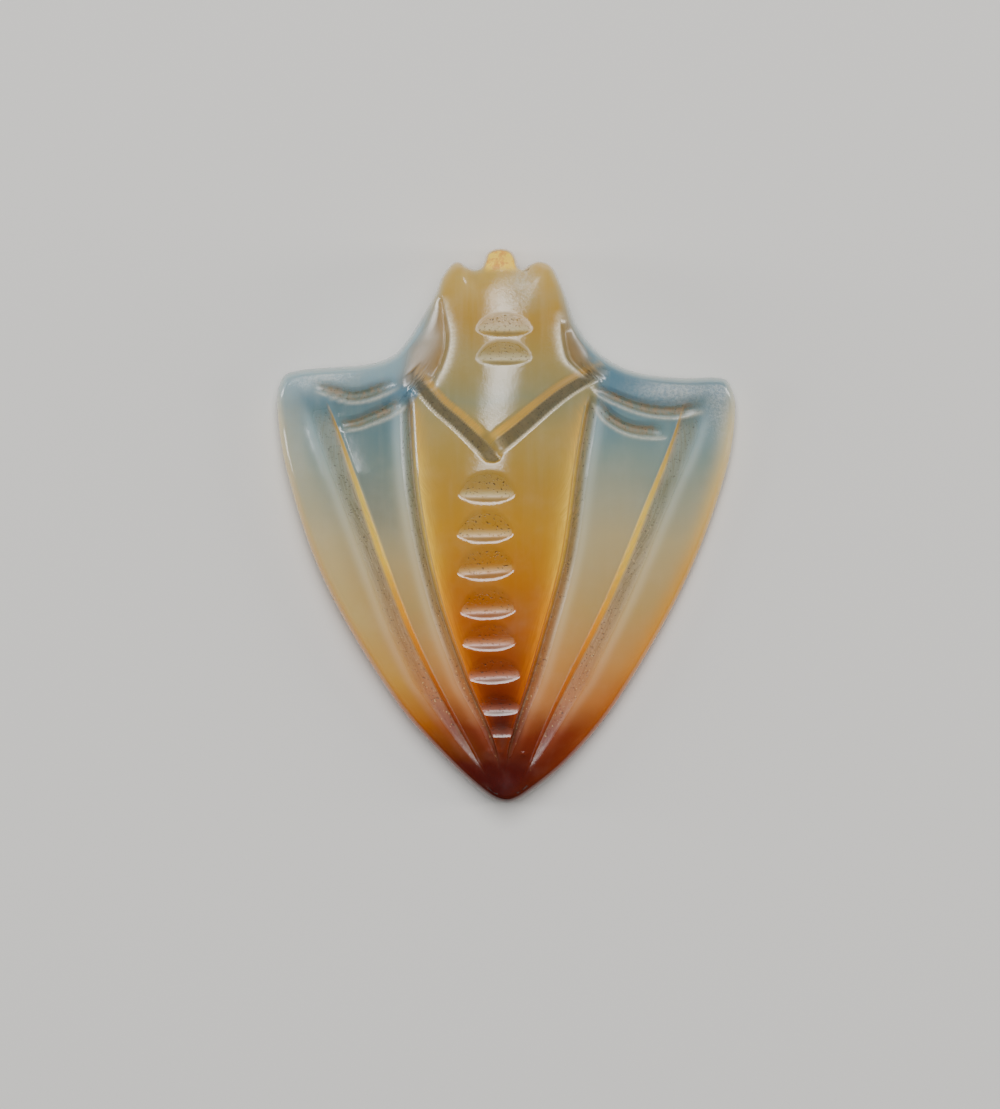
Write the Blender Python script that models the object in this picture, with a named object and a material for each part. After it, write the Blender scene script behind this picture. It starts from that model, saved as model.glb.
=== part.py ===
"""Fly amulet, carved from one piece of banded chalcedony.

The stone lies on its flat back. The carved face looks up along +Z, the head points along
+Y, and the folded wings meet in the tail tip along -Y. The origin is under the middle of
the stone, on the surface that it lies on.

Places on the stone are pairs of shares. The first is a share of the half width, to the
right of the middle, and the second is a share of the length, up from the tail tip.
"""

import math

import bmesh
import bpy
import numpy as np
from mathutils import Vector
from mathutils.geometry import interpolate_bezier

# Driving sizes of the stone, in metres
LENGTH = 0.042
WIDTH = 0.0348
THICKNESS = 0.0088
RIM_ROUNDING = 0.0007
BACK_ROUNDING = 0.0006

# Driving sizes of the carving, in metres
ABDOMEN_GROOVE_WIDTH = 0.0013
ABDOMEN_GROOVE_DEPTH = 0.0007
ABDOMEN_GROOVE_WALL = 0.00024
WING_GROOVE_WIDTH = 0.0021
WING_GROOVE_DEPTH = 0.0006
WING_GROOVE_WALL = 0.00042
NOTCH_HEADWARD = 0.0015
NOTCH_TAILWARD = 0.00065
NOTCH_DEPTH = 0.0005
COLLAR_WIDTH = 0.0011
COLLAR_DEPTH = 0.00065
FOLD_WIDTH = 0.001
FOLD_DEPTH = 0.0004
HOLLOW_WIDTH = 0.0034
HOLLOW_DEPTH = 0.0011
EYE_NICK = 0.00135

# Outline, counterclockwise as seen from the front
TAIL = [(-0.079, 0.012), (0.003, 0.0), (0.082, 0.013)]
RIGHT_SIDE = [(0.274, 0.078), (0.487, 0.186), (0.784, 0.403), (0.959, 0.599), (1.0, 0.715),
              (0.969, 0.761)]
RIGHT_SHOULDER = [(0.924, 0.769), (0.758, 0.768), (0.557, 0.779), (0.413, 0.809), (0.309, 0.859),
                  (0.256, 0.917)]
HEAD = [(0.217, 0.957), (0.155, 0.978), (0.06, 0.995), (-0.027, 1.0), (-0.11, 0.994),
        (-0.215, 0.977), (-0.276, 0.955)]
LEFT_SHOULDER = [(-0.306, 0.924), (-0.354, 0.884), (-0.494, 0.807), (-0.607, 0.792),
                 (-0.769, 0.787), (-0.917, 0.781)]
LEFT_SIDE = [(-0.974, 0.77), (-1.0, 0.725), (-0.956, 0.599), (-0.795, 0.403), (-0.485, 0.186),
             (-0.258, 0.078)]

# Lines that run along the body, from the tail to the head
CREST = [(0.003, 0.0), (-0.032, 0.159), (-0.08, 0.367), (-0.088, 0.548), (-0.067, 0.656),
         (-0.01, 0.837), (-0.014, 1.0)]
ABDOMEN_LEFT = [(-0.012, 0.01), (-0.058, 0.121), (-0.167, 0.233), (-0.289, 0.382),
                (-0.372, 0.553), (-0.41, 0.76)]
ABDOMEN_RIGHT = [(0.012, 0.01), (0.02, 0.114), (0.143, 0.295), (0.241, 0.45), (0.3, 0.624),
                 (0.37, 0.774)]
WING_LEFT = [(-0.026, 0.012), (-0.25, 0.183), (-0.398, 0.313), (-0.529, 0.458),
             (-0.716, 0.665), (-0.79, 0.74)]
WING_RIGHT = [(0.034, 0.012), (0.204, 0.179), (0.422, 0.367), (0.61, 0.552), (0.719, 0.66),
              (0.79, 0.75)]

# Height of the crest as a share of the thickness, from the tail to the head
CREST_HEIGHT = [(0.0, 0.3), (0.06, 0.37), (0.17, 0.56), (0.3, 0.73), (0.46, 0.86), (0.62, 0.94),
                (0.74, 1.0), (0.84, 0.98), (0.92, 0.85), (0.97, 0.66), (1.0, 0.5)]
CREST_BLUNTNESS = 0.14
SIDE_FALL = 0.83
RIM_LEVEL = 0.58
BACK_LEVEL = 0.3

# How the long grooves fade: a share of their depth or width for each share of the length
ABDOMEN_FADE = [(0.08, 0.0), (0.2, 1.0), (0.7, 1.0), (0.75, 0.0)]
WING_FADE = [(0.02, 0.0), (0.15, 1.0), (0.67, 1.0), (0.74, 0.0)]
WIDTH_FADE = [(0.0, 0.08), (0.22, 1.0), (0.66, 1.0), (0.8, 0.75)]
STEP_KEPT = 0.3

# Cuts across the body: valleys of the notches on the crest, and lines of the narrow grooves
NOTCHES = [(-0.01, 0.849), (-0.01, 0.799), (-0.088, 0.552), (-0.093, 0.482), (-0.093, 0.416),
           (-0.084, 0.345), (-0.082, 0.286), (-0.049, 0.228), (-0.032, 0.166)]
COLLAR_LEFT = [(-0.385, 0.772), (-0.289, 0.718), (-0.197, 0.687), (-0.075, 0.641)]
COLLAR_RIGHT = [(0.396, 0.781), (0.234, 0.741), (0.038, 0.675), (-0.09, 0.637)]
FOLDS = [
    [(-0.847, 0.758), (-0.747, 0.745), (-0.668, 0.736), (-0.586, 0.742), (-0.481, 0.763)],
    [(-0.734, 0.685), (-0.651, 0.687), (-0.594, 0.696), (-0.455, 0.727)],
    [(0.357, 0.754), (0.453, 0.736), (0.549, 0.72), (0.758, 0.711), (0.867, 0.725)],
    [(0.385, 0.73), (0.44, 0.7), (0.53, 0.681), (0.61, 0.676), (0.68, 0.678)],
]
HOLLOW_LEFT = [(-0.285, 0.935), (-0.33, 0.85), (-0.37, 0.765)]
HOLLOW_RIGHT = [(0.285, 0.91), (0.315, 0.84), (0.36, 0.79)]
EYE_NICKS = [(-0.128, 0.981), (0.074, 0.981)]

# Share of its depth that a cut keeps where it starts and where it stops
HOLLOW_ENDS = (0.6, 0.3)
COLLAR_ENDS = (0.3, 0.3)
FOLD_ENDS = (0.1, 0.1)

# Fineness of the mesh
CURVE_STEPS = 40
ROWS = 48
MARGIN_COLUMNS = 3
GROOVE_COLUMNS = 2
WALL_COLUMNS = 1
PANEL_COLUMNS = 4
BACK_COLUMNS = 6
RIM_ANGLES = (30.0, 60.0, 90.0)
BACK_ANGLES = (45.0, 90.0)
PATH_STATIONS = 9

# A cutter's sides run on past the surface by this many times its depth
OVERRUN = 1.0

STONE_COLOUR = (0.55, 0.40, 0.22, 1.0)
STONE_ROUGHNESS = 0.28


def place(shares):
    """Points in metres from pairs of shares."""
    pairs = np.asarray(shares, dtype=float).reshape(-1, 2)
    return np.column_stack([pairs[:, 0] * WIDTH / 2, (pairs[:, 1] - 0.5) * LENGTH])


def smooth_curve(points, closed=False):
    """Curve through the points, made of Bezier pieces.

    Each handle lies along the chord between the neighbouring points and is as long as
    its own piece allows, so that the curve keeps close to uneven points.
    """
    knots = [Vector((x, y, 0.0)) for x, y in points]
    if closed:
        line = knots[-1:] + knots + knots[:2]
    else:
        line = [2 * knots[0] - knots[1]] + knots + [2 * knots[-1] - knots[-2]]
    samples = []
    for before, start, end, after in zip(line, line[1:], line[2:], line[3:]):
        piece = (end - start).length
        leave = (end - before) * piece / (3 * (piece + (start - before).length))
        arrive = (after - start) * piece / (3 * (piece + (after - end).length))
        samples += interpolate_bezier(start, start + leave, end - arrive, end, CURVE_STEPS + 1)[:-1]
    if not closed:
        samples.append(knots[-1])
    return np.array(samples)[:, :2]


def line_x(shares, y):
    """Where a line along the body is, across the stone, at the length y."""
    curve = smooth_curve(place(shares))
    return np.interp(y, curve[:, 1], curve[:, 0])


def fade(table, y):
    """Value of a table of shares at the length y."""
    places, values = np.array(table).T
    return np.interp(y / LENGTH + 0.5, places, values)


def groove_width(full, y):
    """Width of a long groove, which narrows towards the tail and the shoulder."""
    return full * fade(WIDTH_FADE, y)


def step_down(distance, wall, width, depth):
    """Depth below the dome at a distance outwards from the top of a groove's wall.

    The wall falls steeply to the groove's foot, the far side climbs gently to a ridge,
    and everything beyond the ridge stays lower by a share of the depth.
    """
    out = np.clip(distance, 0.0, None)
    falling = depth * np.minimum(out / wall, 1.0)
    climb = np.clip((out - wall) / np.maximum(width - wall, 1e-6), 0.0, 1.0)
    return falling - climb * (1.0 - STEP_KEPT) * depth


def surface_height(x, y):
    """Height of the carved face, without the cuts across the body.

    The face is a dome with a blunt crest: a crest height less a hyperbola of the
    distance from the crest, and then one step down beside each long groove.
    """
    away = (x - line_x(CREST, y)) / (WIDTH / 2)
    drop = np.hypot(CREST_BLUNTNESS, SIDE_FALL * away) - CREST_BLUNTNESS
    z = THICKNESS * (fade(CREST_HEIGHT, y) - drop)
    abdomen = (ABDOMEN_GROOVE_WALL, ABDOMEN_GROOVE_WIDTH, ABDOMEN_GROOVE_DEPTH, ABDOMEN_FADE)
    wing = (WING_GROOVE_WALL, WING_GROOVE_WIDTH, WING_GROOVE_DEPTH, WING_FADE)
    grooves = [(ABDOMEN_LEFT, -1, abdomen), (ABDOMEN_RIGHT, 1, abdomen),
               (WING_LEFT, -1, wing), (WING_RIGHT, 1, wing)]
    for line, side, (wall, width, depth, fading) in grooves:
        distance = side * (x - line_x(line, y))
        z = z - step_down(distance, groove_width(wall, y), groove_width(width, y), depth * fade(fading, y))
    return z


def inset_edges():
    """The four edges of the face inside the rounded rim: bottom, right, top and left."""
    corners = [TAIL, RIGHT_SIDE, RIGHT_SHOULDER + HEAD + LEFT_SHOULDER + LEFT_SIDE[:1], LEFT_SIDE[1:]]
    outline = smooth_curve(place(sum(corners, [])), closed=True)
    along = np.roll(outline, -1, axis=0) - np.roll(outline, 1, axis=0)
    along /= np.linalg.norm(along, axis=1)[:, None]
    inset = outline + RIM_ROUNDING * np.column_stack([-along[:, 1], along[:, 0]])
    ends = [CURVE_STEPS * (sum(len(side) for side in corners[:count + 1]) - 1) for count in range(3)]
    bottom = inset[:ends[0] + 1]
    right = inset[ends[0]:ends[1] + 1]
    top = inset[ends[1]:ends[2] + 1][::-1]
    left = np.vstack([inset[ends[2]:], inset[:1]])[::-1]
    return bottom, right, top, left


def arc_lengths(edge):
    """Length along an edge up to each of its points."""
    return np.concatenate([[0.0], np.cumsum(np.linalg.norm(np.diff(edge, axis=0), axis=1))])


def rails():
    """Lines across which the mesh is laid, left to right, and the columns after each one."""
    crest = (lambda y: line_x(CREST, y))

    def beside(line, side, width):
        return lambda y: line_x(line, y) + side * groove_width(width, y)

    def groove(line, side, wall, width):
        lines = [beside(line, side, out) for out in (0.0, wall, width)]
        return lines if side > 0 else lines[::-1]

    abdomen = (ABDOMEN_GROOVE_WALL, ABDOMEN_GROOVE_WIDTH)
    wing = (WING_GROOVE_WALL, WING_GROOVE_WIDTH)
    lines = (groove(WING_LEFT, -1, *wing) + groove(ABDOMEN_LEFT, -1, *abdomen) + [crest]
             + groove(ABDOMEN_RIGHT, 1, *abdomen) + groove(WING_RIGHT, 1, *wing))
    half = [MARGIN_COLUMNS, GROOVE_COLUMNS, WALL_COLUMNS, PANEL_COLUMNS, GROOVE_COLUMNS, WALL_COLUMNS,
            BACK_COLUMNS]
    return lines, half + half[::-1]


def rail_points(line, bottom, top, reach):
    """Points of one rail: its ends lie on the bottom and top edges of the face."""
    low, high = line(-LENGTH / 2), line(LENGTH / 2)
    start = np.interp(low, bottom[:, 0], bottom[:, 1])
    end = np.interp(high, top[:, 0], top[:, 1])
    y = reach(start, end)
    x = line(y)
    x[0], x[-1] = low, high
    return np.column_stack([x, y])


def plan_grid():
    """Plan of the face as rows of points, from the tail to the head.

    The rows follow the outline at the tail, run straight across the wings, and fan out
    above them to follow the shoulders, the neck and the head.
    """
    bottom, right, top, left = inset_edges()
    share = np.linspace(0.0, 1.0, ROWS + 1)
    tail_pull = np.clip(1 - share / 0.12, 0.0, 1.0) ** 2
    rise = np.clip((share - 0.5) / 0.5, 0.0, 1.0)
    head_pull = rise * rise * (3 - 2 * rise)
    lowest, highest = bottom[:, 1].min(), top[:, 1].max()

    def reach(start, end):
        straight = lowest + share * (highest - lowest)
        return straight + tail_pull * (start - lowest) + head_pull * (end - highest)

    def side_rail(edge):
        y = reach(edge[0, 1], edge[-1, 1])
        return np.column_stack([np.interp(y, edge[:, 1], edge[:, 0]), y])

    lines, counts = rails()
    inner = [rail_points(line, bottom, top, reach) for line in lines]
    columns = [side_rail(left)] + inner + [side_rail(right)]
    grid = []
    for number, (here, there) in enumerate(zip(columns, columns[1:])):
        for step in range(counts[number]):
            part = step / counts[number]
            column = (1 - part) * here + part * there
            column += tail_pull[:, None] * bend(bottom, here[0], there[0], part)
            column += (head_pull ** 3)[:, None] * bend(top, here[-1], there[-1], part)
            grid.append(column)
    grid.append(columns[-1])
    return np.stack(grid, axis=1)


def bend(edge, here, there, part):
    """How far an edge bows away from the straight line between two of its points."""
    lengths = arc_lengths(edge)
    place_here = np.interp(here[0], edge[:, 0], lengths)
    place_there = np.interp(there[0], edge[:, 0], lengths)
    along = (1 - part) * place_here + part * place_there
    on_edge = np.array([np.interp(along, lengths, edge[:, 0]), np.interp(along, lengths, edge[:, 1])])
    return on_edge - (1 - part) * here - part * there


def boundary_of(numbers):
    """Numbers of the vertices around a grid, counterclockwise."""
    return np.concatenate([numbers[0, :], numbers[1:, -1], numbers[-1, -2::-1], numbers[-2:0:-1, 0]])


def rim_rings(edge):
    """Rings of points around the rim, from the face over the widest line to the flat back."""
    along = np.roll(edge, -1, axis=0) - np.roll(edge, 1, axis=0)
    along = along[:, :2] / np.linalg.norm(along[:, :2], axis=1)[:, None]
    outward = np.column_stack([along[:, 1], -along[:, 0], np.zeros(len(edge))])
    level = edge[:, 2] * RIM_LEVEL
    low = np.minimum(edge[:, 2] * BACK_LEVEL, BACK_ROUNDING)
    rings = []
    for angle in np.radians(RIM_ANGLES):
        ring = edge + outward * RIM_ROUNDING * math.sin(angle)
        ring[:, 2] = level + (edge[:, 2] - level) * math.cos(angle)
        rings.append(ring)
    widest = rings[-1]
    for angle in np.radians((0.0,) + BACK_ANGLES):
        ring = widest - outward * BACK_ROUNDING * (1 - math.cos(angle))
        ring[:, 2] = low * (1 - math.sin(angle))
        rings.append(ring)
    return rings


def new_object(name, points, faces):
    """Object in the scene made of points and faces, with its faces turned outwards."""
    mesh = bpy.data.meshes.new(name)
    mesh.from_pydata([tuple(point) for point in points], [], [tuple(face) for face in faces])
    shape = bmesh.new()
    shape.from_mesh(mesh)
    bmesh.ops.recalc_face_normals(shape, faces=shape.faces)
    shape.to_mesh(mesh)
    shape.free()
    result = bpy.data.objects.new(name, mesh)
    bpy.context.collection.objects.link(result)
    return result


def ring_faces(first, second):
    """Quads between two closed rings of vertex numbers."""
    return [(a, b, d, c) for a, b, c, d in zip(first, np.roll(first, -1), second, np.roll(second, -1))]


def build_blank():
    """The stone before the cuts across the body: domed and grooved face, rim and flat back."""
    plan = plan_grid()
    rows, columns = plan.shape[:2]
    flat = plan.reshape(-1, 2)
    face = np.column_stack([flat, surface_height(flat[:, 0], flat[:, 1])])
    numbers = np.arange(rows * columns).reshape(rows, columns)
    faces = list(zip(numbers[:-1, :-1].ravel(), numbers[:-1, 1:].ravel(),
                     numbers[1:, 1:].ravel(), numbers[1:, :-1].ravel()))
    edge = boundary_of(numbers)
    points, last = [face], edge
    for ring in rim_rings(face[edge]):
        start = sum(len(block) for block in points)
        points.append(ring)
        following = np.arange(start, start + len(ring))
        faces += ring_faces(last, following)
        last = following
    faces.append(tuple(last))
    return new_object("fly_amulet", np.vstack(points), faces)


def build_cutter(name, rings):
    """Closed solid through rings of points, used only to cut the stone."""
    size = len(rings[0])
    numbers = np.arange(size * len(rings)).reshape(-1, size)
    faces = [tuple(numbers[0]), tuple(numbers[-1])]
    for first, second in zip(numbers, numbers[1:]):
        faces += ring_faces(first, second)
    cutter = new_object(name, np.vstack(rings), faces)
    cutter.hide_render = True
    cutter.display_type = "WIRE"
    return cutter


def notch_cutter(name, where):
    """Wedge across the crest: a gentle side towards the head and a short wall to the tail."""
    x, y = place([where])[0]
    ahead, behind = surface_height(x, y + NOTCH_HEADWARD), surface_height(x, y - NOTCH_HEADWARD)
    lean = math.atan2(ahead - behind, 2 * NOTCH_HEADWARD)
    beyond = 1 + OVERRUN
    profile = [(0.0, -NOTCH_DEPTH), (beyond * NOTCH_HEADWARD, OVERRUN * NOTCH_DEPTH),
               (-beyond * NOTCH_TAILWARD, OVERRUN * NOTCH_DEPTH)]
    z = surface_height(x, y)
    rings = []
    for side in (-1, 1):
        rings.append(np.array([
            (x + side * WIDTH / 8,
             y + along * math.cos(lean) - up * math.sin(lean),
             z + along * math.sin(lean) + up * math.cos(lean))
            for along, up in profile]))
    return build_cutter(name, rings)


def path_cutter(name, shares, width, depth, profile, ends):
    """Cutter swept along a line on the face.

    The profile is a list of pairs: a share of the half width and a share of the depth.
    Each of its points follows the height of the face below it. The ends are the shares
    of the depth that the cut keeps where it starts and stops.
    """
    curve = smooth_curve(place(shares))
    lengths = arc_lengths(curve)
    stations = np.linspace(0.0, lengths[-1], PATH_STATIONS)
    centre = np.column_stack([np.interp(stations, lengths, curve[:, axis]) for axis in (0, 1)])
    along = np.gradient(centre, axis=0)
    along /= np.linalg.norm(along, axis=1)[:, None]
    across = np.column_stack([-along[:, 1], along[:, 0]])
    share = np.linspace(0.0, 1.0, PATH_STATIONS)
    swell = np.sin(math.pi * share)
    keep = (1 - share) * ends[0] + share * ends[1]
    cut = depth * (keep + (1 - keep) * swell)
    rings = []
    for middle, sideways, deep in zip(centre, across, cut):
        ring = []
        for offset, up in profile:
            x, y = middle + sideways * offset * width / 2
            ring.append((x, y, surface_height(x, y) + (up * depth if up > 0 else up * deep)))
        rings.append(np.array(ring))
    return build_cutter(name, rings)


def wedge_profile():
    """V section of a narrow groove."""
    beyond = 1 + OVERRUN
    return [(0.0, -1.0), (beyond, OVERRUN), (-beyond, OVERRUN)]


def hollow_profile(steps=8):
    """Round section of a broad hollow, closed above the face."""
    angles = np.linspace(-0.5 * math.pi, 0.5 * math.pi, steps + 1)
    bowl = [(math.sin(angle) * 1.1, 0.25 - 1.25 * math.cos(angle)) for angle in angles]
    return bowl + [(1.1, 1.0), (-1.1, 1.0)]


def nick_cutter(name, where):
    """Upright round bar that cuts a nick into the head's edge beside an eye."""
    x, y = place([where])[0]
    angles = np.linspace(0.0, 2 * math.pi, 12, endpoint=False)
    circle = np.column_stack([x + EYE_NICK / 2 * np.cos(angles), y + EYE_NICK / 2 * np.sin(angles)])
    heights = (-0.1 * THICKNESS, 1.1 * THICKNESS)
    return build_cutter(name, [np.column_stack([circle, np.full(len(circle), z)]) for z in heights])


def build_cutters():
    """Every cut across the body, in the order in which it is made."""
    hollow = (HOLLOW_WIDTH, HOLLOW_DEPTH, hollow_profile(), HOLLOW_ENDS)
    collar = (COLLAR_WIDTH, COLLAR_DEPTH, wedge_profile(), COLLAR_ENDS)
    fold = (FOLD_WIDTH, FOLD_DEPTH, wedge_profile(), FOLD_ENDS)
    cutters = [path_cutter("hollow_left_cut", HOLLOW_LEFT, *hollow),
               path_cutter("hollow_right_cut", HOLLOW_RIGHT, *hollow),
               path_cutter("collar_left_cut", COLLAR_LEFT, *collar),
               path_cutter("collar_right_cut", COLLAR_RIGHT, *collar)]
    for number, line in enumerate(FOLDS, start=1):
        cutters.append(path_cutter(f"fold_{number}_cut", line, *fold))
    for number, where in enumerate(NOTCHES, start=1):
        cutters.append(notch_cutter(f"notch_{number}_cut", where))
    for number, where in enumerate(EYE_NICKS, start=1):
        cutters.append(nick_cutter(f"eye_nick_{number}_cut", where))
    return cutters


def stone_material():
    """Polished honey-coloured stone."""
    material = bpy.data.materials.new("chalcedony")
    material.use_nodes = True
    shader = material.node_tree.nodes["Principled BSDF"]
    shader.inputs["Base Color"].default_value = STONE_COLOUR
    shader.inputs["Roughness"].default_value = STONE_ROUGHNESS
    shader.inputs["Metallic"].default_value = 0.0
    return material


def main():
    """Clear the scene, carve the stone and give it its finish."""
    for old in list(bpy.data.objects):
        bpy.data.objects.remove(old, do_unlink=True)
    stone = build_blank()
    for cutter in build_cutters():
        cut = stone.modifiers.new(cutter.name, "BOOLEAN")
        cut.operation = "DIFFERENCE"
        cut.solver = "EXACT"
        cut.object = cutter
    stone.data.materials.append(stone_material())
    stone.data.shade_smooth()
    stone.data.set_sharp_from_angle(angle=math.radians(28))


main()
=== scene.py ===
import logging
import math
from dataclasses import dataclass, field, fields
from enum import Enum
from typing import Callable

import bpy
import numpy as np
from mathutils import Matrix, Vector


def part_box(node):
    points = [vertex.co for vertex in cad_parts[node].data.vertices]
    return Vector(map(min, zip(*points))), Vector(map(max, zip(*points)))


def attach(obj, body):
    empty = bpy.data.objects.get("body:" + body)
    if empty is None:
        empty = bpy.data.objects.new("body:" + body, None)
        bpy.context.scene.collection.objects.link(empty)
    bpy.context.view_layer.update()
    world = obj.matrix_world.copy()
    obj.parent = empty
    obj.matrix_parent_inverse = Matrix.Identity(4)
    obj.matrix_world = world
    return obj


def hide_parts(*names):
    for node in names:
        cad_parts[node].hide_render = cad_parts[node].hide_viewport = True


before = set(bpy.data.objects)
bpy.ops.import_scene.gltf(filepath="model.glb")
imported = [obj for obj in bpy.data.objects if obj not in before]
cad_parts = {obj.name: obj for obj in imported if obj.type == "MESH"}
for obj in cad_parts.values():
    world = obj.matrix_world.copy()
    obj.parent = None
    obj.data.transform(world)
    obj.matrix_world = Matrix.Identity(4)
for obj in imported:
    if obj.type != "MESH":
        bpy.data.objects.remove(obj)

LOG = logging.getLogger("fly_amulet")
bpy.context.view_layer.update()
STONE_NODE = "fly_amulet"

ON_LINE = 1e-7  # Points nearer than this to a line, in metres, lie on it

Places = tuple[tuple[float, float], ...]
Line = Callable[[np.ndarray], np.ndarray]
Colour = tuple[int, int, int]
Stops = tuple[tuple[float, Colour], ...]
Socket = bpy.types.NodeSocket
Value = Socket | float | tuple[float, ...]


class Side(Enum):
    """Side of the body that a line lies on, as the sign of the outward direction."""

    LEFT = -1.0
    RIGHT = 1.0


@dataclass(frozen=True)
class Body:
    """Real size of the stone, taken from the frame, and its own places.

    A place is a pair of shares: of the half width to the right of the middle, and of the
    length up from the tail tip.
    """

    low: tuple[float, float, float]
    high: tuple[float, float, float]

    @classmethod
    def from_frame(cls, node: str) -> "Body":
        """Read the stone's box from the frame.

        Args:
            node: Name of the CAD node.

        Returns:
            The body with that node's box.
        """
        low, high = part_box(node)
        return cls(tuple(low), tuple(high))

    @property
    def half_width(self) -> float:
        """Half of the stone's width."""
        return (self.high[0] - self.low[0]) / 2

    @property
    def length(self) -> float:
        """Length of the stone, tail to head."""
        return self.high[1] - self.low[1]

    @property
    def thickness(self) -> float:
        """Height of the crest above the flat back."""
        return self.high[2] - self.low[2]

    def place(self, shares: Places) -> np.ndarray:
        """Turn pairs of shares into points.

        Args:
            shares: Pairs of shares.

        Returns:
            Array of points, one row each, in metres.
        """
        pairs = np.asarray(shares, dtype=float).reshape(-1, 2)
        return np.column_stack([pairs[:, 0] * self.half_width, self.low[1] + pairs[:, 1] * self.length])

    def share(self, y: np.ndarray) -> np.ndarray:
        """Share of the length at y, 0 at the tail tip and 1 at the head."""
        return (y - self.low[1]) / self.length


def smooth_curve(points: np.ndarray, closed: bool = False, steps: int = 40) -> np.ndarray:
    """Sample a smooth curve through points.

    Each piece is a cubic in Hermite form. The slope at a point is the chord between its
    neighbours times the piece's length over the sum of the two lengths beside the point.

    Args:
        points: Points that the curve passes through.
        closed: Whether the curve returns to its first point.
        steps: Samples in each piece.

    Returns:
        Array of samples along the curve.
    """
    if closed:
        line = np.vstack([points[-1:], points, points[:2]])
    else:
        line = np.vstack([2 * points[0] - points[1], points, 2 * points[-1] - points[-2]])
    before, start, end, after = line[:-3], line[1:-2], line[2:-1], line[3:]
    length, length_before, length_after = (
        np.linalg.norm(b - a, axis=1)[:, None] for a, b in ((start, end), (before, start), (end, after)))
    leave = (end - before) * length / (length + length_before)
    arrive = (after - start) * length / (length + length_after)
    t = np.linspace(0.0, 1.0, steps, endpoint=False)[None, :, None]
    curve = ((2 * t ** 3 - 3 * t ** 2 + 1) * start[:, None] + (t ** 3 - 2 * t ** 2 + t) * leave[:, None]
             + (3 * t ** 2 - 2 * t ** 3) * end[:, None] + (t ** 3 - t ** 2) * arrive[:, None])
    curve = curve.reshape(-1, 2)
    return curve if closed else np.vstack([curve, points[-1:]])


def arc_lengths(curve: np.ndarray) -> np.ndarray:
    """Length along a curve up to each of its samples."""
    return np.concatenate([[0.0], np.cumsum(np.linalg.norm(np.diff(curve, axis=0), axis=1))])


def smooth_step(value: np.ndarray, low: float, high: float) -> np.ndarray:
    """Rise smoothly from 0 at low to 1 at high: three squares less two cubes of the share."""
    share = np.clip((value - low) / (high - low), 0.0, 1.0)
    return share * share * (3 - 2 * share)


def window(value: np.ndarray, rise: tuple[float, float], drop: tuple[float, float]) -> np.ndarray:
    """Smooth step up over the rise, times a smooth step down over the drop."""
    return smooth_step(value, *rise) * (1 - smooth_step(value, *drop))


def bell(distance: np.ndarray, width: float) -> np.ndarray:
    """Bell curve: the exponential of less the square of the distance over the width."""
    return np.exp(-((distance / width) ** 2))


def soft_minimum(first: np.ndarray, second: np.ndarray, blend: float) -> np.ndarray:
    """Lower of two heights, with a rounded edge: the mean less half the root of gap and blend squared."""
    gap = first - second
    return 0.5 * (first + second - np.sqrt(gap * gap + blend * blend))


def at(table: Places, share: np.ndarray) -> np.ndarray:
    """Value of a table of pairs at the shares, straight between its entries."""
    return np.interp(share, *np.array(table).T)


def eased(table: Places, share: np.ndarray) -> np.ndarray:
    """Value of a table of pairs, by a smooth step between its entries.

    Args:
        table: Pairs of a place and a value.
        share: Places to read it at.

    Returns:
        The value at each place.
    """
    places, values = np.array(table).T
    number = np.clip(np.searchsorted(places, share, side="right") - 1, 0, len(places) - 2)
    part = smooth_step((share - places[number]) / (places[number + 1] - places[number]), 0.0, 1.0)
    return values[number] + (values[number + 1] - values[number]) * part


def path_field(x: np.ndarray, y: np.ndarray, path: np.ndarray) -> tuple[np.ndarray, np.ndarray, np.ndarray]:
    """Distance of points from a path, by the nearest of its straight pieces.

    Args:
        x: Places across the stone.
        y: Places along the stone.
        path: Samples along the path.

    Returns:
        The distance, its sign (1 on the left of the path's direction) and the share of the
        path's length at which it is nearest.
    """
    start, run = path[:-1], np.diff(path, axis=0)
    squared = (run ** 2).sum(axis=1)
    lengths = np.sqrt(squared)
    until = np.concatenate([[0.0], np.cumsum(lengths)])
    best = np.full(x.shape, np.inf)
    side = np.ones(x.shape)
    station = np.zeros(x.shape)
    for number in range(len(start)):
        to_x, to_y = x - start[number, 0], y - start[number, 1]
        along = np.clip((to_x * run[number, 0] + to_y * run[number, 1]) / squared[number], 0.0, 1.0)
        distance = np.hypot(to_x - along * run[number, 0], to_y - along * run[number, 1])
        nearer = distance < best
        best = np.where(nearer, distance, best)
        side = np.where(nearer, np.sign(run[number, 0] * to_y - run[number, 1] * to_x), side)
        station = np.where(nearer, (until[number] + along * lengths[number]) / until[-1], station)
    return best, side, station


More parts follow.
